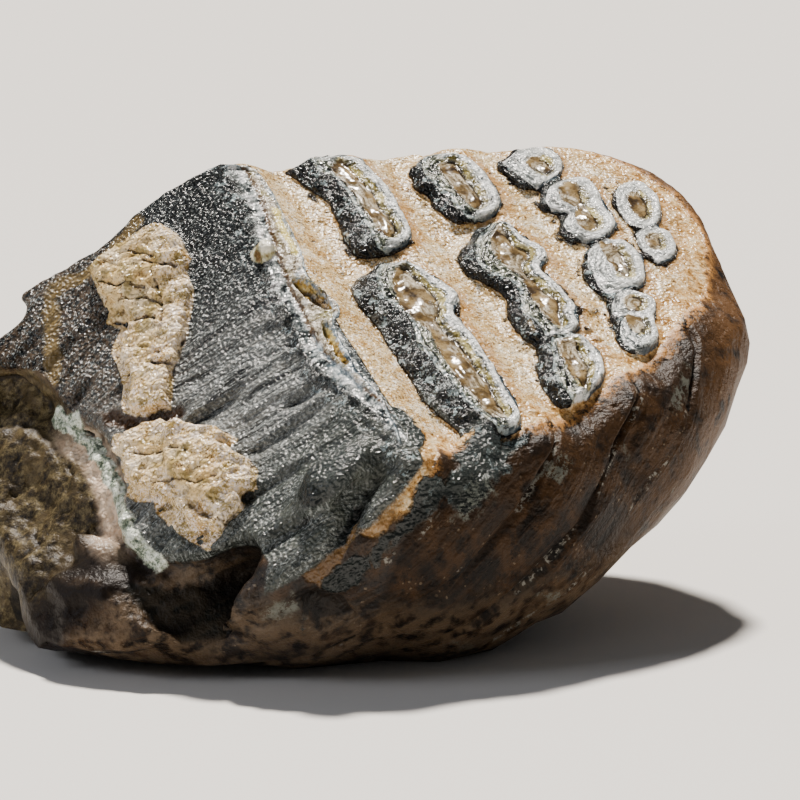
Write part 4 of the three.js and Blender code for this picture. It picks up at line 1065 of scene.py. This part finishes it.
# Each substance: its colour, roughness and height in millimetres, or the substance that it starts from,
# then its coats in order. A coat is a colour or a further substance, and where it lies.
substances = {
    # Mineralised cement of the sides: lacquered, nearly black brown with rust and a few pale grains
    "sideCement": {
        "colour": ("streak", (0.34, "#070503"), (0.46, "#130D08"), (0.56, "#20160E"), (0.70, "#352617")),
        "rough": 0.46,
        "height": ("sum", ("scallop", 0.6), ("sand", 0.4), ("streak", 0.45)),
        "coats": (
            ("rust", "#46301A", ("all", ("cloud", 0.44, 0.58), ("blotch", 0.40, 0.58), 0.65)),
            ("black grain", "#050403", ("all", ("clump", 0.50, 0.40), 0.7)),
            # warm brown at the back end and below the rim, partly a painted rim light there
            ("warm back with painted rim light", "#644628", (
                "all", ("any", ("all", ("plateX", 52.0, 80.0), ("chewHeight", -46.0, -8.0)),
                        ("all", ("chewHeight", -20.0, -6.0), 0.2)),
                ("blotch", 0.30, 0.50), 0.75)),
            # the lower side lightened in paint: a painted bounce light where it faces down
            ("painted bounce light on the foot", "#6A5844", ("all", ("chewHeight", -20.0, -34.0), ("scallop", 0.36, 0.58), 0.75)),
            ("glow under the rim", "#C08A4C", (
                "all", ("tanDistance", -3.0, 0.0, 1.0, "broad"), ("chewHeight", -10.0, -3.0),
                ("clump", 0.42, 0.52))),
            ("plate edge", "#040404", (
                "all", ("line", "lineDistance", 0.0, 0.8, 0.35), ("cloud", 0.40, 0.52))),
            ("glint by a plate", "#86837A", (
                "all", ("line", "lineDistance", 1.3, 0.5, 0.4), ("cloud", 0.50, 0.56), ("sand", 0.50, 0.62))),
            ("pale grain", "#84735E", ("all", ("chance", 0.965, 0.985), ("blotch", 0.50, 0.62), 0.5)),
        ),
    },
    # Cement worn smooth by chewing: warm tan with a fine salt of white, dark specks, hairline cracks
    "chewingCement": {
        "colour": ("blotch", (0.34, "#C19B5E"), (0.50, "#DABA80"), (0.66, "#EBD5A8")),
        "rough": 0.22,
        "height": ("sum", ("grit", 0.36), ("swell", 0.2), ("sand", 0.2)),
        "coats": (
            ("brown grain", "#98703A", ("salt", 0.475, 0.41)),
            ("white salt", "#FFFAEC", ("salt", 0.525, 0.575)),
            ("pits", "#2A190D", ("dust", 0.405, 0.35)),
            ("specks", "#3A2413", ("all", ("chance", 0.91, 0.95), 0.7)),
            ("hairline cracks", "#24160C", ("all", ("crack", 0.010, 0.003), ("cloud", 0.50, 0.55))),
            ("stain behind the rims", "#A97638", ("all", ("behindRim", 4.5, 0.8, 1.2, "broad"), 0.6)),
            ("golden edge", ("clump", (0.40, "#8E6028"), (0.50, "#D9A965"), (0.60, "#F6DCAC")),
             ("all", ("tanDistance", 9.0, 1.5, 2.0, "broad"), 0.8)),
        ),
    },
    # The same cement where it turns down the side: ochre, then brown
    "ochreCement": {
        "base": "chewingCement",
        "coats": (
            ("ochre", "#7E5E38", ("all", ("chewHeight", -3.0, -8.0), 0.75)),
            ("brown", "#4A3119", ("all", ("chewHeight", -9.0, -17.0), 0.8)),
        ),
    },
    # Broken dentine and root: olive brown, rough, cracked, glossy under its lacquer
    "brokenCore": {
        "colour": ("clump", (0.38, "#17120B"), (0.47, "#332A1A"), (0.54, "#4C422C"), (0.63, "#6A5E42")),
        "rough": 0.46,
        "height": ("sum", ("scallop", 0.4), ("sand", 0.3)),
        "coats": (
            ("olive", "#52452D", ("all", ("blotch", 0.50, 0.62), 0.6)),
            ("dark near end", "#150D07", ("frontAcross", 4.0, -14.0)),
        ),
    },
    # Bare enamel: black and glossy, with fine silver strokes down its ribs that gather in clumps. The strokes
    # lighten low on the front as a painted haze and near the tops of the walls as painted highlights
    "darkEnamel": {
        "colour": ("stroke", (0.43, "#020303"), (0.49, "#101315"), (0.545, "#484E4F"), (0.59, "#C4CBCA")),
        "rough": 0.19,
        "height": ("sum", ("grit", 0.62), ("hair", 0.16), ("ribs", 1.0), ("swell", 0.4)),
        "coats": (
            # the lower front lightened to grey: a painted sheen of blurred glints
            ("painted haze of glints", "#7F8280", (
                "all", ("frontAcross", 42.0, 0.0), ("frontUp", -4.0, -12.0), ("frontAcross", -24.0, -8.0),
                "offLoops", 0.56)),
            # painted highlights on the crests of the ribs and painted shade in their grooves
            ("painted highlight on rib crests", "#9A9A93", (
                "all", ("ribs", 0.52, 0.62), ("frontAcross", 30.0, 12.0), "offLoops", 0.35)),
            ("painted shade in rib grooves", "#0B0E11", (
                "all", ("ribs", 0.48, 0.38), ("frontUp", -3.0, -10.0),
                ("any", ("frontAcross", 38.0, 28.0), ("frontUp", -22.0, -30.0)), "offLoops", 0.85)),
            ("black peak", "#020303", (
                "all", ("frontAcross", 24.0, 46.0), ("frontUp", -24.0, -6.0), "offLoops", 0.5)),
            ("brown foot", "#5E4E3E", (
                "all", ("frontUp", -24.0, -34.0, 2.0, "broad"), ("frontAcross", 10.0, 22.0),
                ("sand", 0.38, 0.6), 0.55)),
            ("grey near end", "#464B47", ("all", ("frontAcross", -5.0, -18.0), "offLoops", 0.62)),
            ("green cast", "#4C5048", ("all", ("blotch", 0.50, 0.64), ("frontAcross", -12.0, -26.0), 0.55)),
            # painted shade low on the walls, where they meet the cement
            ("painted shade at the foot of the walls", "#030404", ("all", "byLoops", ("wallHeight", 2.6, 0.6), 0.5)),
            # painted glints: cyan-white specks near the wear line and the tops of the walls
            ("painted wet glints", "#C3D9DD", (
                "all", ("any", ("wearDistance", -5.5, -0.5),
                        ("all", ("ringDistance", -4.5, -0.3), ("wallHeight", 0.8, 2.4))),
                ("clump", 0.575, 0.615), 0.6)),
            ("plate end", "#2F3636", ("all", "calmEnd", 0.65)),
            ("shaded plate end", "#0D100F", ("all", "calmEnd", ("chewHeight", -3.0, -9.0), 0.75)),
        ),
    },
    # Thin flakes of cement on the front: ochre, brown in their cracks, painted shade in their hollows, with
    # wet pinkish glints lower down
    "clingingCement": {
        "colour": ("blotch", (0.34, "#CAA668"), (0.50, "#E7C990"), (0.66, "#F5E1BA")),
        "rough": 0.17,
        "height": ("sum", ("scallop", 0.5), ("grit", 0.75), ("swell", 0.6)),
        "coats": (
            ("brown grain", "#7A5A30", ("salt", 0.465, 0.40)),
            ("olive flakes", "#8F7C44", ("all", ("scallop", 0.50, 0.60), 0.75)),
            ("wet glints", "#FBE9DA", (
                "all", ("salt", 0.50, 0.56), ("any", ("frontAcross", 44.0, 30.0), ("frontUp", -27.0, -22.0)),
                ("patchDistance", 7.0, 3.0, 1.5, "broad"))),
            # dark brown in the open cracks, and painted shade in every hollow that the cavity mark finds
            ("cracks", "#3A2713", (
                "all", ("any", ("cavity", 0.22, 0.5, 0.03), ("crackDepth", 0.2, 0.7, 0.1)), 0.85)),
        ),
    },
    # Enamel ground flat by chewing: silver grey and beaded, with dark gaps between its clumps
    "silverEnamel": {
        "colour": ("silverSalt", (0.41, "#14181A"), (0.465, "#5E6667"), (0.52, "#AEB5B3"), (0.58, "#FFFFFF")),
        "rough": 0.18,
        "height": ("sum", ("bead", -0.16), ("grit", 0.3), ("layers", 0.5)),
    },
    # Worn rims: grey olive and coarse in front, silver behind, golden green where they turn to the dentine
    "loopEnamel": {
        "base": "silverEnamel",
        "coats": (
            ("olive front",
             ("oliveSalt", (0.43, "#080A0A"), (0.485, "#2A302C"), (0.54, "#6A6F5E"), (0.60, "#DAD9CB")),
             "oliveRim"),
            # a painted highlight along the front edge of the rim, where the wall turns down
            ("painted highlight on the lip", "#CFE0E4", (
                "all", "oliveRim", ("line", "ringDistance", 0.55, 0.7, 0.35), ("sand", 0.42, 0.54), 0.4)),
            ("pale last plates", "#D2D6D4", ("all", ("plateX", 44.0, 54.0), 0.5)),
            ("golden inside", ("scallop", (0.38, "#3A3412"), (0.50, "#7E7030"), (0.62, "#CDBE74")),
             ("all", ("rimShare", 0.60, 0.82, 0.12), "rimBehind", 0.85)),
            ("bright crest", "#F2F6F4", (
                "all", "rimBehind", ("line", "rimShare", 0.38, 0.26, 0.1), ("sand", 0.38, 0.5), 0.75)),
            ("slate outline", "#3F4C55", ("all", "rimBehind", ("line", "ringDistance", 0.15, 0.45, 0.12))),
        ),
    },
    # Dentine between the enamel walls: brown and beige, polished, so it gleams as if wet
    "wetDentine": {
        "colour": ("scallop", (0.34, "#33271A"), (0.50, "#6F5B3A"), (0.64, "#9C8760")),
        "rough": 0.17,
        "height": ("sum", ("swell", 0.9), ("grit", 0.05)),
        "coats": (
            ("beige", ("silverSalt", (0.42, "#544A38"), (0.50, "#A3977E"), (0.57, "#E6DFCC")),
             ("all", ("blotch", 0.46, 0.56), 0.75)),
            ("dark grain", "#241910", ("all", ("salt", 0.46, 0.40), 0.7)),
            # painted shade in the sunk gap between the dentine and the rim behind it
            ("painted shade in the gap by the rim", "#120B05", (
                "all", ("basinDistance", 1.0, 0.3, 0.35), ("rimFacing", 0.1, -0.4), 0.9)),
        ),
    },
    # Worn dentine of plate one: grey beige with fine stripes along the band, sparkling
    "bandDentine": {
        "colour": ("bandSalt", (0.41, "#3B3226"), (0.47, "#857A66"), (0.53, "#C6BCA8"), (0.60, "#FFFDF6")),
        "rough": 0.18,
        "height": ("sum", ("stripes", 0.35), ("grit", 0.35), ("bead", -0.1)),
        "coats": (("olive", "#8C8748", ("all", ("blotch", 0.52, 0.66), 0.6)),),
    },
    # Worn edge of plate one: silver enamel on both sides of its dentine, with a slate outline
    "wornEdge": {
        "base": "silverEnamel",
        "coats": (
            ("dark clumps", "#0C1012", ("all", ("wearDistance", 3.2, 0.4, 0.9), ("clump", 0.56, 0.50), 0.75)),
            ("dentine", "bandDentine", (
                "all", ("wearDistance", 2.9, 3.6, 0.4), ("bandDistance", 1.0, 1.5, 0.3))),
            ("brown seam", "#4A3218", ("all", ("line", "wearDistance", 3.5, 0.7, 0.4), 0.85)),
            ("yellow streak", "#DCCB74", ("line", "streakDistance", 0.0, 1.2, 0.4)),
            ("silver rim", ("clump", (0.42, "#5A6870"), (0.50, "#95A2A8"), (0.58, "#DDE6E8")),
             ("line", "bandDistance", 0.5, 0.8, 0.15)),
            ("slate outline", "#36414A", ("line", "bandDistance", 0.0, 0.3, 0.1)),
        ),
    },
    # Broken section of the enamel shell: chalky white with a green cast
    "brokenShell": {
        "colour": ("clump", (0.40, "#5B675A"), (0.48, "#A9B3A0"), (0.56, "#E4EADC")),
        "rough": 0.2,
        "height": ("sum", ("scallop", 0.4), ("grit", 0.6)),
    },
    # The lens of it beside the core: pinkish
    "pinkShell": {"base": "brokenShell", "coats": (("pink", "#DCBBA0", 0.75),)},
    # Fossil tooth under clear lacquer: one piece of stone with each tissue still in its own colour
    "fossilTooth": {
        "base": "sideCement",
        "coats": (
            ("chewing cement", "chewingCement", "onTan"),
            ("ochre cement", "ochreCement", ("ochreSpot", -0.3, 0.5, 0.6, "broad")),
            ("broken core", "brokenCore", "onCore"),
            ("dark enamel", "darkEnamel", ("any", "onFront", "onWall", "onPlateEnd")),
            ("silt", "#75633F", ("all", ("siltDistance", 2.4, 1.0, 0.9, "broad"), "onFront", 0.85)),
            ("crevice", "#3B2612", ("all", ("creviceDistance", 2.4, 1.0, 0.9, "broad"), "onFront", 0.9)),
            ("clinging cement", "clingingCement", ("patchDistance", -0.6, -0.2, 0.3, "broad")),
            ("pink lens", "pinkShell", (
                "all", ("line", "coreDistance", 3.8, 4.6, 0.6, "broad"), ("line", "frontAcross", 7.0, 24.0),
                ("frontHeight", 1.2, 0.4), ("frontHeight", -9.0, -7.0))),
            ("broken shell", "brokenShell", (
                "all", ("stripDistance", 1.9, 1.2, 0.7, "broad"), ("frontHeight", -8.5, -7.0),
                ("frontHeight", 3.0, 2.0))),
            ("loops", "loopEnamel", "onLoop"),
            ("basins", "wetDentine", ("all", ("wideBasin", -0.3, 0.3, 0.35), "onLoop")),
            ("worn edge", "wornEdge", "onWornEdge"),
            ("pockets", ("scallop", (0.38, "#5A3F10"), (0.50, "#A8873A"), (0.62, "#E4D08A")),
             ("all", ("pocketDistance", -0.2, 0.3, 0.3), "onWornEdge")),
            ("pearl", ("scallop", (0.38, "#8A6A3C"), (0.46, "#BDB68A"), (0.56, "#F4F0DA")), "onPearl"),
            ("dark contact", "#1C140F", (
                "all", ("any", ("line", "wallHeight", 0.35, 0.22, 0.15, "broad"),
                        ("line", "bandDistance", -0.3, 0.3, 0.15)),
                ("rimDistance", -3.2, -2.0), ("chewHeight", -8.0, -6.0), ("ringDistance", 0.05, -0.1))),
            ("enamel flecks", "#787D74", (
                "all", ("fleckSpot", -1.2, 0.8, 1.4, "broad"), ("clump", 0.48, 0.56), 0.6)),
            # painted shade filling the sunk hollow at the foot of the front
            ("painted shade in the foot hollow", "#0A0C08", (
                "all", ("hollowDistance", -0.5, 1.0, 0.8, "broad"), ("frontHeight", 2.0, 0.5), 0.85)),
            # painted shade: every hollow darkened by how sunk it is
            ("painted shade in the hollows", "#0C0805", ("all", ("cavity", 0.14, 0.6, 0.04), 0.8)),
        ),
    },
}
lacquer = {"ior": 1.52, "shine": 0.3, "dullShine": 0.14, "pearlRough": 0.08}

fossil = bpy.data.materials.new("matFossilMolar")
fossil.use_nodes = True
tree = fossil.node_tree
tree.nodes.clear()
made = {}  # outputs of the nodes by the spec that they stand for


def linear(hexColour):
    values = [int(hexColour[i:i + 2], 16) / 255 for i in (1, 3, 5)]
    return tuple(v / 12.92 if v <= 0.04045 else ((v + 0.055) / 1.055) ** 2.4 for v in values) + (1.0,)


def addNode(kind, inputs=None, out=0, stops=None, **settings):
    node = tree.nodes.new("ShaderNode" + kind)
    for name, value in settings.items():
        setattr(node, name, value)
    for key, value in (inputs or {}).items():
        if isinstance(value, bpy.types.NodeSocket):
            tree.links.new(value, node.inputs[key])
        else:
            node.inputs[key].default_value = value
    if stops:
        ramp = node.color_ramp.elements
        for place, colour in stops[2:]:
            ramp.new(place)
        for element, (place, colour) in zip(ramp, stops):
            element.position = place
            element.color = linear(colour)
    return node.outputs[out] if len(node.outputs) else node


def math2(operation, first, second=0.0, third=0.0):
    return addNode("Math", {0: first, 1: second, 2: third}, operation=operation)


def noiseOf(place, scale, detail, roughness, out=0):
    settings = {"Vector": place, "Scale": scale, "Detail": detail, "Roughness": roughness}
    return addNode("TexNoise", settings, out)


def perMetre(size):
    return 1 / (size * metresPerMm)


def makePatterns():
    # what the specs can't say: the place on the piece, cells, and noise from -1 to 1 that breaks up lines
    place = made["place"] = addNode("TexCoord", out=3)
    axes = addNode("SeparateXYZ", {0: place}).node.outputs
    made.update(placeX=axes["X"], placeY=axes["Y"], placeZ=axes["Z"])
    made["bead"] = addNode("TexVoronoi", {"Vector": place, "Scale": perMetre(cells["bead"])})
    grain = addNode("TexVoronoi", {"Vector": place, "Scale": perMetre(cells["grain"])}, out=1)
    made["chance"] = addNode("SeparateColor", {"Color": grain})
    bend = noiseOf(place, perMetre(cells["bend"]), 0.0, 0.5, out=1)
    bend = addNode("VectorMath", {0: bend, "Scale": cells["bendReach"]}, operation="SCALE")
    bent = addNode("VectorMath", {0: place, 1: bend}, operation="ADD")
    made["crack"] = addNode(
        "TexVoronoi", {"Vector": bent, "Scale": perMetre(cells["crack"])}, feature="DISTANCE_TO_EDGE")
    low, high = cells["spread"]
    for name, source in (("fine", "sand"), ("broad", "scallop")):
        made[name] = addNode("MapRange", {
            "Value": fieldOf(source), "From Min": low, "From Max": high, "To Min": -1.0, "To Max": 1.0})


def fieldOf(spec):
    # what a spec stands for, made once: a node output or a plain number
    if isinstance(spec, float):
        return spec
    if spec not in made:
        made[spec] = fieldByName(spec) if isinstance(spec, str) else fieldByRule(*spec)
    return made[spec]


def fieldByName(name):
    if name in named:
        return fieldOf(named[name])
    if name in noises:
        size, detail, roughness = noises[name]
        return noiseOf(made["place"], perMetre(size), detail, roughness)
    if name in drawnOut:
        axes, scale, detail, roughness = drawnOut[name]
        parts = {axis: math2("MULTIPLY", fieldOf(part), factor) for axis, (part, factor) in enumerate(axes)}
        return noiseOf(addNode("CombineXYZ", parts), scale, detail, roughness)
    return addNode("Attribute", attribute_name=name, out=2)


def fieldByRule(kind, *parts):
    if kind == "sum":
        total = 0.0
        for part, share in parts:
            total = math2("MULTIPLY_ADD", fieldOf(part), share, total)
        return total
    if kind in ("all", "any"):
        total = fieldOf(parts[0])
        for part in parts[1:]:
            total = math2("MULTIPLY" if kind == "all" else "MAXIMUM", total, fieldOf(part))
        return total
    if kind == "line":
        name, centre, half, *jitter = parts
        gap = math2("ABSOLUTE", math2("SUBTRACT", moved(name, *jitter), centre))
        return fade(gap, half, half * cells["lineCore"])
    start, end, *jitter = parts
    return fade(moved(kind, *jitter), start, end)


def moved(name, jitter=0.0, noise="fine"):
    return math2("MULTIPLY_ADD", fieldOf(noise), jitter, fieldOf(name)) if jitter else fieldOf(name)


def fade(value, start, end):
    inputs = {"Value": value, "From Min": start, "From Max": end}
    return addNode("MapRange", inputs, interpolation_type="SMOOTHSTEP")


def colourOf(spec):
    # a plain colour, or one that follows a pattern from stop to stop
    if isinstance(spec, str):
        return linear(spec)
    if spec not in made:
        made[spec] = addNode("ValToRGB", {0: fieldOf(spec[0])}, stops=spec[1:])
    return made[spec]


def buildSubstance(name):
    recipe = substances[name]
    if "base" in recipe:
        look = buildSubstance(recipe["base"])
    else:
        look = {"colour": colourOf(recipe["colour"]), "rough": recipe["rough"],
                "height": fieldOf(recipe["height"])}
    for label, over, where in recipe.get("coats", ()):
        amount = fieldOf(where)
        if over in substances:
            coat = buildSubstance(over)
            for key in ("rough", "height"):
                look[key] = addNode("Mix", {0: amount, 2: look[key], 3: coat[key]}, label=label)
            colour = coat["colour"]
        else:
            colour = colourOf(over)
        look["colour"] = addNode(
            "Mix", {0: amount, 6: look["colour"], 7: colour}, out=2, data_type="RGBA", label=label)
    return look


def finishFossil():
    makePatterns()
    look = buildSubstance("fossilTooth")
    rough = addNode("Mix", {0: fieldOf("onPearl"), 2: look["rough"], 3: lacquer["pearlRough"]})
    shine = addNode("Mix", {0: fieldOf("dull"), 2: lacquer["shine"], 3: lacquer["dullShine"]})
    bump = addNode("Bump", {"Height": look["height"], "Distance": metresPerMm, "Strength": 1.0})
    shader = addNode("BsdfPrincipled", {
        "Base Color": look["colour"], "Roughness": rough, "Normal": bump, "IOR": lacquer["ior"],
        "Specular IOR Level": shine})
    addNode("OutputMaterial", {"Surface": shader})
    print("fossil material made:", len(tree.nodes), "nodes")


finishFossil()
piece.data.materials.append(fossil)
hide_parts("molar_fragment")
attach(piece, "root")

# Camera at the photograph's viewing angle
camera = {"at": (-0.3005, -0.60007, 0.1648), "tilt": 80.0, "turn": -26.57, "lens": 148.5, "sensor": 36.0}
cameraData = bpy.data.cameras.new("camera")
cameraData.lens = camera["lens"]
cameraData.sensor_width = camera["sensor"]
cameraObject = bpy.data.objects.new("camera", cameraData)
cameraObject.location = camera["at"]
cameraObject.rotation_euler = (math.radians(camera["tilt"]), 0, math.radians(camera["turn"]))
bpy.context.scene.collection.objects.link(cameraObject)
bpy.context.scene.camera = cameraObject

studio = {
    "floor": "#D8D6D2",
    "floorSize": 40.0,
    "floorRough": 0.7,
    "world": "#E4E6EA",
    "worldStrength": 0.16,
    "sun": {"from": (0.22, 0.42, 1.0), "strength": 9.4, "angle": 6.0, "tint": "#FFF6EC"},
    "fill": {"at": (-0.85, 0.05, 0.5), "aim": (-0.03, 0, 0.05), "size": 0.3, "power": 2.6,
             "tint": "#F2F5FF"},
}


def makeFloor():
    # Paper backdrop: matt and pale grey
    bpy.ops.mesh.primitive_plane_add(size=studio["floorSize"], location=(0, 0, 0))
    floor = bpy.context.object
    floor.name = "studioFloor"
    material = bpy.data.materials.new("matPaperBackdrop")
    material.use_nodes = True
    shader = material.node_tree.nodes["Principled BSDF"]
    shader.inputs["Base Color"].default_value = linear(studio["floor"])
    shader.inputs["Roughness"].default_value = studio["floorRough"]
    floor.data.materials.append(material)


def addLamp(name, kind, power, colour, towards, at=(0, 0, 0)):
    data = bpy.data.lights.new(name, kind)
    data.energy = power
    data.color = linear(colour)[:3]
    lamp = bpy.data.objects.new(name, data)
    lamp.location = at
    lamp.rotation_euler = towards.to_track_quat("-Z", "Y").to_euler()
    bpy.context.scene.collection.objects.link(lamp)
    return data


def makeLamps():
    sun, fill = studio["sun"], studio["fill"]
    key = addLamp("key", "SUN", sun["strength"], sun["tint"], -Vector(sun["from"]))
    key.angle = math.radians(sun["angle"])
    aim = Vector(fill["aim"]) - Vector(fill["at"])
    addLamp("fill", "AREA", fill["power"], fill["tint"], aim, fill["at"]).size = fill["size"]
    world = bpy.data.worlds.new("studioWorld")
    world.use_nodes = True
    background = world.node_tree.nodes["Background"]
    background.inputs["Color"].default_value = linear(studio["world"])
    background.inputs["Strength"].default_value = studio["worldStrength"]
    bpy.context.scene.world = world


makeFloor()
makeLamps()
print("studio ready")
